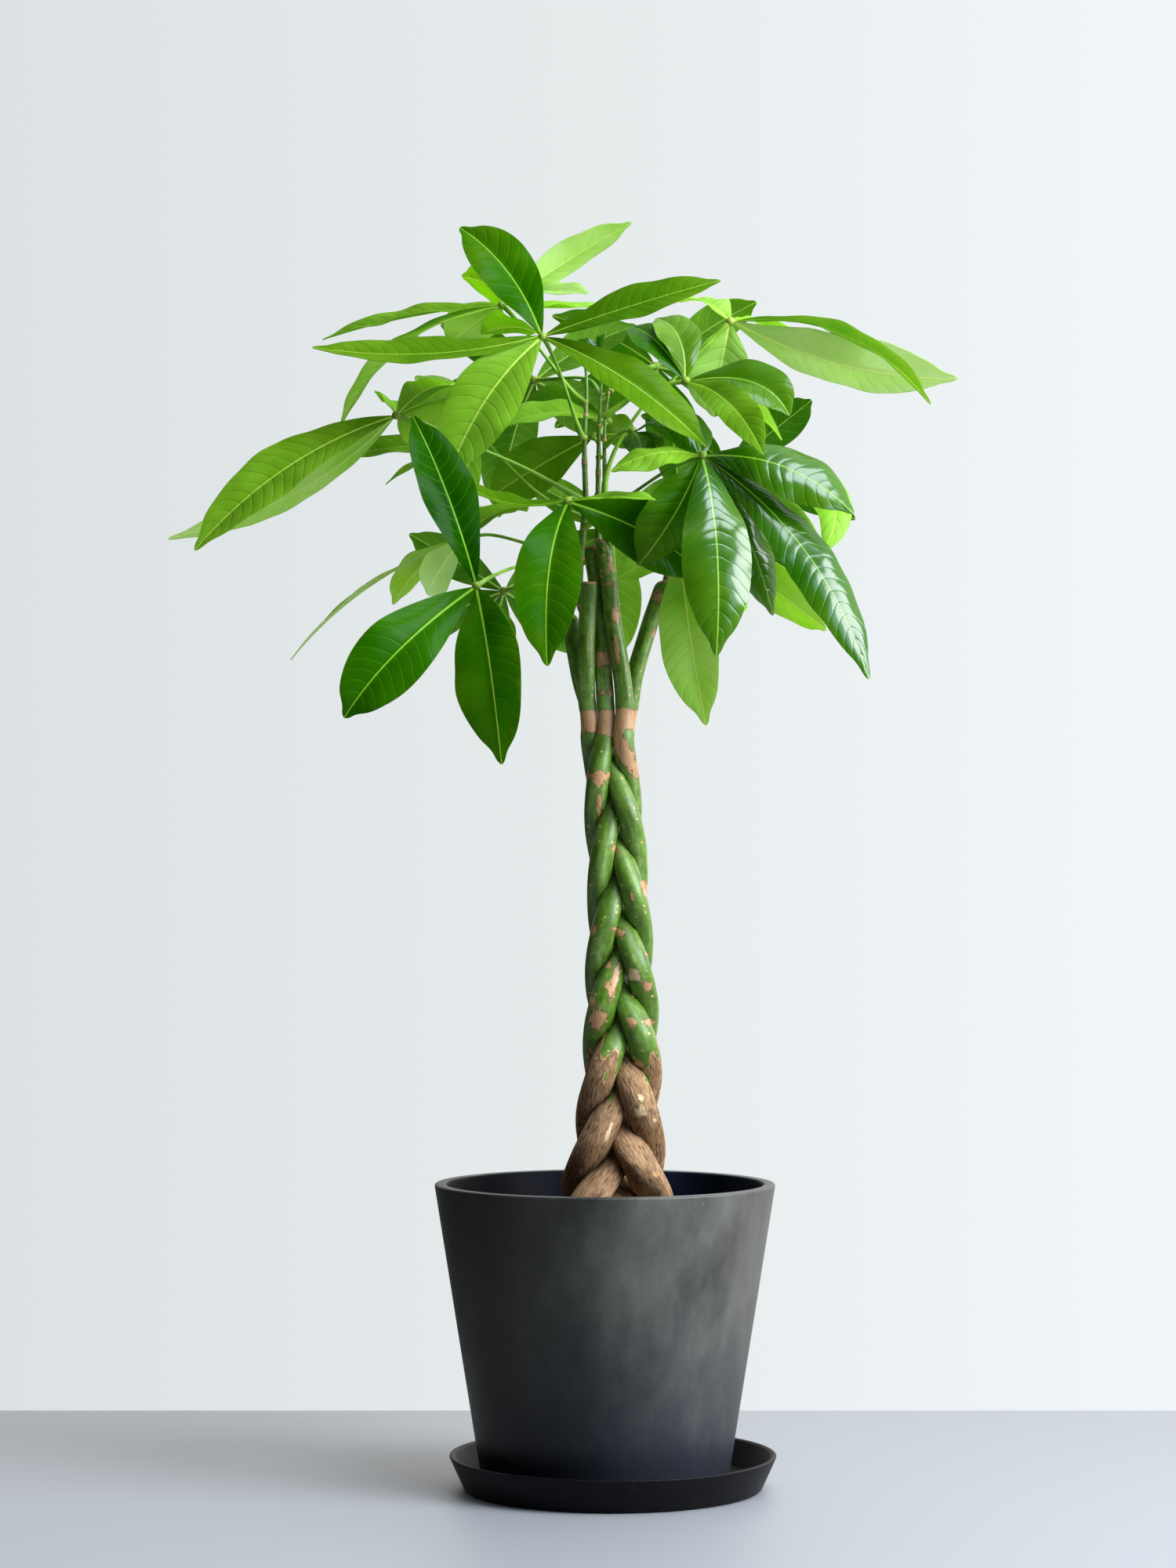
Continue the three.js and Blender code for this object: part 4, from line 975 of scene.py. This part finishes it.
class MONEYTREE_OT_stems(Operator):
    """Model the five plaited canes with their green shoots"""

    bl_idname = "moneytree.stems"
    bl_label = "Stems"

    def cane(self, plant, index, stem):
        """A cane's rings, pressed flat against its neighbours, and what its surface carries."""
        top = stem["cane"][-1][2]
        heights = np.append(np.arange(STEM_FOOT, top - 1, plant.cane_step / MM), [top - 0.6, top])
        angles = circle(plant.cane_sides)
        scars = self.scars(index, top)
        rings, looks = [], []
        for z in heights:
            x, y, radius, reach = pressed(stem, z, angles)
            wander = noise.noise(Vector((index * 9.1, 0, z / 60)))
            wood = barky(z + WANDER * wander)
            bound = smooth(BIND_LOW - 2, BIND_LOW, z) * (1 - smooth(BIND_HIGH - 1, BIND_HIGH + 1, z))
            tan, pale, lift = np.full(len(angles), bound), np.zeros(len(angles)), np.full(len(angles), -0.5 * bound)
            woods = np.array([self.woody(index, angle, z) for angle in angles])
            for scar_z, scar_angle, size, rings_round in scars:
                if abs(z - scar_z) <= SCAR_REACH:
                    gap = np.abs((angles - scar_angle + math.pi) % (2 * math.pi) - math.pi) * radius
                    away = np.hypot(0 if rings_round else gap, (z - scar_z) * (1.9 if rings_round else 1.1)) / size
                    tan = np.maximum(tan, np.clip(1.5 - away, 0, 1))
                    lift += SCAR_LIFT * np.exp(-(away**2) * 1.2)
            for kind, marks in MARKS.items():
                for mark in marks:
                    if abs(z - mark[1]) > mark[3]:
                        continue
                    cover = np.where(np.sin(angles) < -0.1, mark_cover(mark, x + reach * np.cos(angles), z), 0)
                    if kind == "green":
                        woods = woods * (1 - cover)
                        continue
                    tan = np.maximum(tan, cover)
                    pale = np.maximum(pale, cover if kind == "pale" else 0)
                    lift += MARK_LIFT * cover
            for k, angle in enumerate(angles):
                spot = Vector((math.cos(angle) * 1.6, math.sin(angle) * 1.6, z / 34 + index * 7))
                grain = noise.noise(Vector((spot.x * 5, spot.y * 5, spot.z * 1.2)))
                lift[k] += LUMP * noise.noise(spot) - wood * FISSURE * max(grain, 0)
            reach = reach + lift
            if z > top - 0.3:
                reach = reach * 0.93
                tan[:] = 1
            ring_z = z + (stem["slant"] * reach * np.cos(angles) if z > top - 1 else 0 * angles)
            rings.append(np.stack([x + reach * np.cos(angles), y + reach * np.sin(angles), ring_z], axis=1))
            old = AGE * smooth(*AGED_BETWEEN, z) * (0.5 + wander) if index in AGED_STEMS else 0
            looks.append(np.stack([np.maximum(woods, old), tan, pale, angles, np.full(len(angles), z)], axis=1))
        return np.array(rings), np.array(looks)

    def woody(self, index, angle, z):
        """How far the bark covers a spot: its upper end is slanted and runs out in tongues."""
        spot = Vector((math.cos(angle) * 1.7 + 5 * index, math.sin(angle) * 1.7, z / 40))
        return barky(z + TONGUES * noise.noise(spot) + SLANT * math.cos(angle + index))

    def scars(self, index, top):
        """Where leaves once grew: height, side, size and whether the scar rings the cane."""
        draws = np.random.default_rng(SEED + index)
        found = []
        z = BARK_TOP + 25 * index
        while z < top - 20:
            side, size = draws.uniform(0.2, math.pi - 0.2), draws.uniform(*SCAR_SIZES)
            found.append((z, side, size, draws.random() < RINGING_SCARS))
            z += draws.uniform(*SCAR_GAPS)
        return found

    def shoot(self, index, stem):
        """A green shoot's rings, swollen at its joints, and what its surface carries."""
        route, shares = smooth_route(stem["shoot"], SHOOT_STEP)
        rings = tube_rings(route, shares, (*stem["radii"], stem["radii"][1] * 0.4), SHOOT_SIDES)
        length = np.linalg.norm(np.diff(route, axis=0), axis=1).sum()
        centre = rings.mean(axis=1, keepdims=True)
        joints = np.abs((shares * length / JOINT_SPACING + index * 0.3) % 1 - 0.5) * JOINT_SPACING
        swell = 1 + JOINT_SWELL * np.exp(-((joints / JOINT_LENGTH) ** 2))
        rings = centre + (rings - centre) * swell[:, None, None]
        around, scar = np.meshgrid(circle(SHOOT_SIDES), np.clip(1.15 - joints / 1.6, 0, 1))
        none = 0 * around
        scar = np.maximum(scar, np.clip(1 - shares * 12, 0, 1)[:, None])
        return rings, np.stack([0.1 + none, scar, none, around, shares[:, None] * length + none], axis=2)

    def dress(self, obj, row, column, looks):
        """Keeps on the mesh how woody, tan and pale it is, and where along and around it lies."""
        values = looks[row, column]
        for k, name in enumerate(("bark", "scar", "pale")):
            set_attribute(obj, name, values[:, k])
        angles, heights = values[:, 3], values[:, 4]
        straight = np.stack([np.cos(angles) * GIRTH, np.sin(angles) * GIRTH, heights], axis=1) * MM
        layer = obj.data.attributes.new("grain", "FLOAT_VECTOR", "POINT")
        layer.data.foreach_set("vector", straight.astype(np.float32).ravel())

    def execute(self, context):
        plant = context.scene.moneytree_plant
        material = cane_bark()
        for index, stem in enumerate(STEMS):
            name = f"stem_{index + 1}"
            parts = []
            for suffix, (rings, looks) in (("", self.cane(plant, index, stem)), ("_shoot", self.shoot(index, stem))):
                part, row, column = tube_piece(name + suffix, rings)
                self.dress(part, row, column, looks)
                parts.append(part)
            both = join(parts)
            both.data.materials.append(material)
            finish_piece(both, [name], angle=55)
        return {"FINISHED"}


# Fronds


def blade_layout(hub, blade, facing, bend):
    """A blade's middle line as three control points, its upper face, and its width."""
    x, y, z, width, turn_degrees, arch, sway, lead = (*blade, 0)[:8]
    tip = np.array([x, y + bend, z], float)
    chord = unit(tip - hub)
    painted_backdrop_light = np.array([0.0, 0, 1]) if abs(chord.dot(facing)) > 0.92 else facing
    face = unit(painted_backdrop_light - painted_backdrop_light.dot(chord) * chord)
    aside = np.cross(chord, face)
    if (aside[2] if abs(aside[2]) > 0.05 else aside[0]) < 0:
        aside = -aside
    turn = math.radians(turn_degrees)
    normal = math.cos(turn) * face + math.sin(turn) * aside
    sway_way = -math.sin(turn) * face + math.cos(turn) * aside
    root = hub + ROOT_OFFSET * chord
    middle = (root + tip) / 2 + 2 * arch * normal + 2 * sway * sway_way + 2 * lead * chord
    return root, middle, tip, normal, width


def fan_blades(hub, facing, reach):
    """The blades of a far frond: tips spread round the hub, the lowest one longest."""
    down = np.array([0.0, 0, -1])
    down = unit(down - down.dot(facing) * facing)
    across = np.cross(facing, down)
    blades = []
    for i, degrees in enumerate(FAR_SPREAD):
        length = reach * (1 - FAR_SHORTER * math.ceil(i / 2))
        angle = math.radians(degrees)
        tip = hub + length * (math.cos(angle) * down + math.sin(angle) * across + FAR_LIFT * facing)
        blades.append((*tip, length * FAR_WIDTH, 0, length * FAR_ARCH, 0))
    return blades


def blade_points(layout, phases, rows, columns, vein_spacing, quilt, fold):
    """The blade's grid of points: folded, rippled at its edges and pleated along its veins."""
    root, middle, tip, normal, width = layout
    s = np.linspace(0, 1, rows)[:, None]
    u = np.linspace(-1, 1, columns)[None, :]
    centre = (1 - s) ** 2 * root + 2 * s * (1 - s) * middle + s**2 * tip
    along = 2 * (1 - s) * (middle - root) + 2 * s * (tip - middle)
    along /= np.linalg.norm(along, axis=1)[:, None]
    up = normal - (along @ normal)[:, None] * along
    up /= np.linalg.norm(up, axis=1)[:, None]
    side = np.cross(up, along)
    ends = ROOT_HALF + (TIP_HALF - ROOT_HALF) * s
    swell = np.maximum(np.sin(math.pi * s**BLADE_FULLEST), 0) ** BLADE_FULL
    swell = swell * (1 - 0.3 * np.exp(-(((s - 0.95) / 0.045) ** 2)))
    half = ends + (width / 2 - ends) * swell
    edge = np.abs(u)
    across_bow, along_bow = np.sin(math.pi * edge), np.sin(math.pi * s)
    phase = np.where(u < 0, phases[0], phases[1])
    ripple = WAVE * (width / 60) * along_bow * np.sin(2 * math.pi * WAVES * s + phase)
    length = np.linalg.norm(tip - root)
    beat = np.abs(np.sin(math.pi * (s * length / vein_spacing - 1.5 * edge**1.5 + 0.25)))
    uneven = 1 + 0.5 * np.sin(9 * s * length / 100 + phase + 2 * edge)
    pleat = PLEAT * quilt * uneven * (beat - 0.5) * across_bow**0.6 * along_bow
    swinging = np.sin(2 * math.pi * s * length / SWING_LENGTH + phases[0] + 1.5 * u)
    swing = SWING * quilt * swinging * along_bow * edge
    dome = DOME * half * across_bow
    rise = fold * half * edge**1.15 + ripple * edge**1.6 + pleat + swing + dome
    return centre[:, None] + side[:, None] * (u * half)[..., None] + up[:, None] * rise[..., None], length


def each(value, count):
    """The value for each of the blades, from one value for all or a list of them."""
    return value if isinstance(value, tuple) else (value,) * count


class MONEYTREE_OT_fronds(Operator):
    """Model every frond: its petiole, its hub and its leaflets"""

    bl_idname = "moneytree.fronds"
    bl_label = "Fronds"

    def template(self, plant):
        """One leaflet's flat grid, which every blade is a copy of."""
        clear_selection()
        bpy.ops.mesh.primitive_grid_add(x_subdivisions=plant.blade_columns, y_subdivisions=plant.blade_rows, size=2)
        grid = bpy.context.object
        grid.name = "leaflet_pattern"
        grid.data.uv_layers[0].name = "rib"
        grid.data.uv_layers.new(name="blade")
        grid.data.uv_layers.new(name="sheen")
        return grid

    def blade(self, grid, points, **maps):
        """A copy of the pattern with its vertices at the given points, and even values in its maps."""
        copy = grid.copy()
        copy.data = grid.data.copy()
        bpy.context.scene.collection.objects.link(copy)
        flat = coordinates(copy.data.vertices)
        rows, columns = points.shape[:2]
        row = np.rint((flat[:, 1] + 1) / 2 * (rows - 1)).astype(int)
        column = np.rint((1 - flat[:, 0]) / 2 * (columns - 1)).astype(int)
        for name, pair in maps.items():
            copy.data.uv_layers[name].data.foreach_set("uv", np.tile(pair, len(copy.data.loops)))
        place_vertices(copy, points[row, column])
        return copy

    def stalk(self, name, route_points, skin):
        """The petiole and the hub that it ends in."""
        route, shares = smooth_route(route_points, PETIOLE_STEP)
        petiole, row, _ = tube_piece(name + "_petiole", tube_rings(route, shares, PETIOLE_RADII, PETIOLE_SIDES))
        ends = np.clip(1 - shares * 14, 0, 1) + np.clip(shares * 14 - 13, 0, 1)
        set_attribute(petiole, "scar", ends[row])
        hub = Vector(route_points[-1]) * MM
        bpy.ops.mesh.primitive_uv_sphere_add(segments=16, ring_count=10, radius=HUB_RADIUS * MM, location=hub)
        knob = bpy.context.object
        bpy.ops.object.transform_apply()
        set_attribute(knob, "scar", np.full(len(knob.data.vertices), 0.8))
        for part in (petiole, knob):
            for layer in list(part.data.uv_layers):
                part.data.uv_layers.remove(layer)
            part.data.materials.append(skin)
        return petiole, knob

    def execute(self, context):
        plant = context.scene.moneytree_plant
        skins = [leaf_face(UPPER, plant.vein_spacing), leaf_face(UNDER, plant.vein_spacing), green_stalk()]
        grid = self.template(plant)
        seed = SEED
        for index, frond in enumerate(FRONDS):
            name = f"frond_{index + 1:02d}"
            known = coordinates(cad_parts[name].data.vertices) / MM
            hub = np.array(frond["petiole"][-1], float)
            facing = unit(np.array(frond.get("facing", FRONT), float))
            blades = frond.get("blades") or fan_blades(hub, facing, frond["reach"])
            quilt = frond.get("quilt", QUILT)
            tones = each(frond["tone"], len(blades))
            glosses = each(frond.get("gloss", GLOSS), len(blades))
            pieces = []
            for number, blade in enumerate(blades):
                phases = []
                for _ in range(2):
                    seed = seed * SEED_FACTOR % SEED_RANGE
                    phases.append(seed / SEED_RANGE * 2 * math.pi)
                # The bend that the frame's blade has is the one that its tip lies nearest to
                gaps = [np.linalg.norm(known - (blade[0], blade[1] + bend, blade[2]), axis=1).min() for bend in BENDS]
                points, length = blade_points(
                    blade_layout(hub, blade, facing, BENDS[int(np.argmin(gaps))]), phases, plant.blade_rows + 1,
                    plant.blade_columns + 1, plant.vein_spacing / MM, quilt, frond.get("fold", FOLD),
                )
                # The tone carries painted light and shade for the blade as well as its own colour
                tone = tones[number] + TONE_SPREAD * math.sin(number * 2.4 + index)
                maps = dict(blade=[tone / TONE_FULL, length / LENGTH_FULL], sheen=[glosses[number], quilt])
                pieces.append(self.blade(grid, points, **maps))
            leaf = join(pieces)
            for skin in skins:
                leaf.data.materials.append(skin)
            apply_modifier(leaf, "SOLIDIFY", thickness=plant.blade_thickness, offset=0,
                           material_offset=1, material_offset_rim=1)
            whole = join([leaf, *self.stalk(name, frond["petiole"], skins[2])])
            place_vertices(whole, np.clip(coordinates(whole.data.vertices), *CAD_BOX) / MM)
            finish_piece(whole, [name], angle=50)
        bpy.data.objects.remove(grid)
        return {"FINISHED"}


class MONEYTREE_OT_stage(Operator):
    """Set up the pale table top, the soft lights and the camera"""

    bl_idname = "moneytree.stage"
    bl_label = "Stage"

    def sky(self, scene):
        """A pale room: bright as the camera sees it, and lighting the plant mostly from the right."""
        world = bpy.data.worlds.new("Pale room")
        scene.world = world
        world.use_nodes = True
        tree = world.node_tree
        tree.nodes.clear()
        seen_way = put(tree, "TexCoord").outputs["Generated"]
        way = put(tree, "SeparateXYZ", {0: seen_way})
        # Painted light: the backdrop that the camera sees is painted lighter to the right, where the window lights the
        # wall
        seen_x = spread(tree, way.outputs[0], -0.16, 0.16)
        painted_backdrop_light = ramp(tree, seen_x, (0.0, "#DCE2E3"), (0.5, "#E6EBEC"), (1.0, "#F2F7F9"))
        # The room is brightest above, behind and to the right
        facing = put(tree, "VectorMath", {0: seen_way, 1: (0.3, 0.22, 0.32)}, operation="DOT_PRODUCT")
        light = ramp(tree, calc(tree, "ADD", facing, 0.34), (0.0, 0.01), (0.36, 0.05), (0.6, 0.42), (0.8, 1.0))
        backdrop = put(tree, "Background", {"Color": painted_backdrop_light, "Strength": 1.0})
        room = put(tree, "Background", {"Color": light, "Strength": 2.0})
        camera_ray = put(tree, "LightPath").outputs["Is Camera Ray"]
        whole = put(tree, "MixShader", {0: camera_ray, 1: room, 2: backdrop})
        put(tree, "OutputWorld", {"Surface": whole})

    def lamp(self, name, place, aim, size, power, colour):
        light = bpy.data.lights.new(name, "AREA")
        light.shape = "DISK"
        light.size = size
        light.energy = power
        light.color = linear(colour)
        obj = bpy.data.objects.new(name, light)
        bpy.context.scene.collection.objects.link(obj)
        obj.location = place
        obj.rotation_euler = (Vector(aim) - Vector(place)).to_track_quat("-Z", "Y").to_euler()

    def execute(self, context):
        stage = context.scene.moneytree_stage
        clear_selection()
        middle = (0, (TABLE_BACK + TABLE_FRONT) / 2, -TABLE_THICK / 2)
        bpy.ops.mesh.primitive_cube_add(size=1, location=middle)
        table = context.object
        table.scale = (TABLE_WIDE, TABLE_BACK - TABLE_FRONT, TABLE_THICK)
        bpy.ops.object.transform_apply()
        apply_modifier(table, "BEVEL", width=TABLE_ROUNDING, segments=3)
        table.name = "table_top"
        table.data.materials.append(painted_table(stage.table_colour))
        self.sky(context.scene)
        for name, place, aim, size, share, colour in WINDOWS:
            self.lamp(name, place, aim, size, stage.key_power * share, colour)
        camera = bpy.data.cameras.new("camera")
        camera.lens = CAMERA_LENS
        camera.sensor_width = SENSOR_WIDTH
        camera.clip_end = CAMERA_SIGHT
        eye = bpy.data.objects.new("camera", camera)
        context.scene.collection.objects.link(eye)
        eye.location = (CAMERA_X, -stage.camera_distance, stage.camera_height)
        eye.rotation_euler = (math.radians(90 + CAMERA_RISE), 0, 0)
        context.scene.camera = eye
        context.scene.view_settings.view_transform = "Standard"
        return {"FINISHED"}


class MONEYTREE_PT_panel(Panel):
    """Sizes and colours of the money tree, and the steps that model it"""

    bl_idname = "MONEYTREE_PT_panel"
    bl_label = "Money tree"
    bl_space_type = "VIEW_3D"
    bl_region_type = "UI"
    bl_category = "Money tree"

    def draw(self, context):
        for group in ("moneytree_pot", "moneytree_plant", "moneytree_stage"):
            settings = getattr(context.scene, group)
            for key in settings.bl_rna.properties.keys():
                if key not in ("rna_type", "name"):
                    self.layout.prop(settings, key)
        for operator in OPERATORS:
            self.layout.operator(operator.bl_idname)


OPERATORS = (
    MONEYTREE_OT_saucer,
    MONEYTREE_OT_pot,
    MONEYTREE_OT_soil,
    MONEYTREE_OT_stems,
    MONEYTREE_OT_fronds,
    MONEYTREE_OT_stage,
)
SETTINGS = {
    "moneytree_pot": MoneyTreePot,
    "moneytree_plant": MoneyTreePlant,
    "moneytree_stage": MoneyTreeStage,
}


def register():
    for kind in (*SETTINGS.values(), *OPERATORS, MONEYTREE_PT_panel):
        bpy.utils.register_class(kind)
    for name, kind in SETTINGS.items():
        setattr(bpy.types.Scene, name, PointerProperty(type=kind))


def unregister():
    for name in SETTINGS:
        delattr(bpy.types.Scene, name)
    for kind in (MONEYTREE_PT_panel, *OPERATORS, *SETTINGS.values()):
        bpy.utils.unregister_class(kind)


def main():
    register()
    bpy.ops.moneytree.saucer()
    bpy.ops.moneytree.pot()
    bpy.ops.moneytree.soil()
    bpy.ops.moneytree.stems()
    bpy.ops.moneytree.fronds()
    bpy.ops.moneytree.stage()


if __name__ == "__main__":
    main()
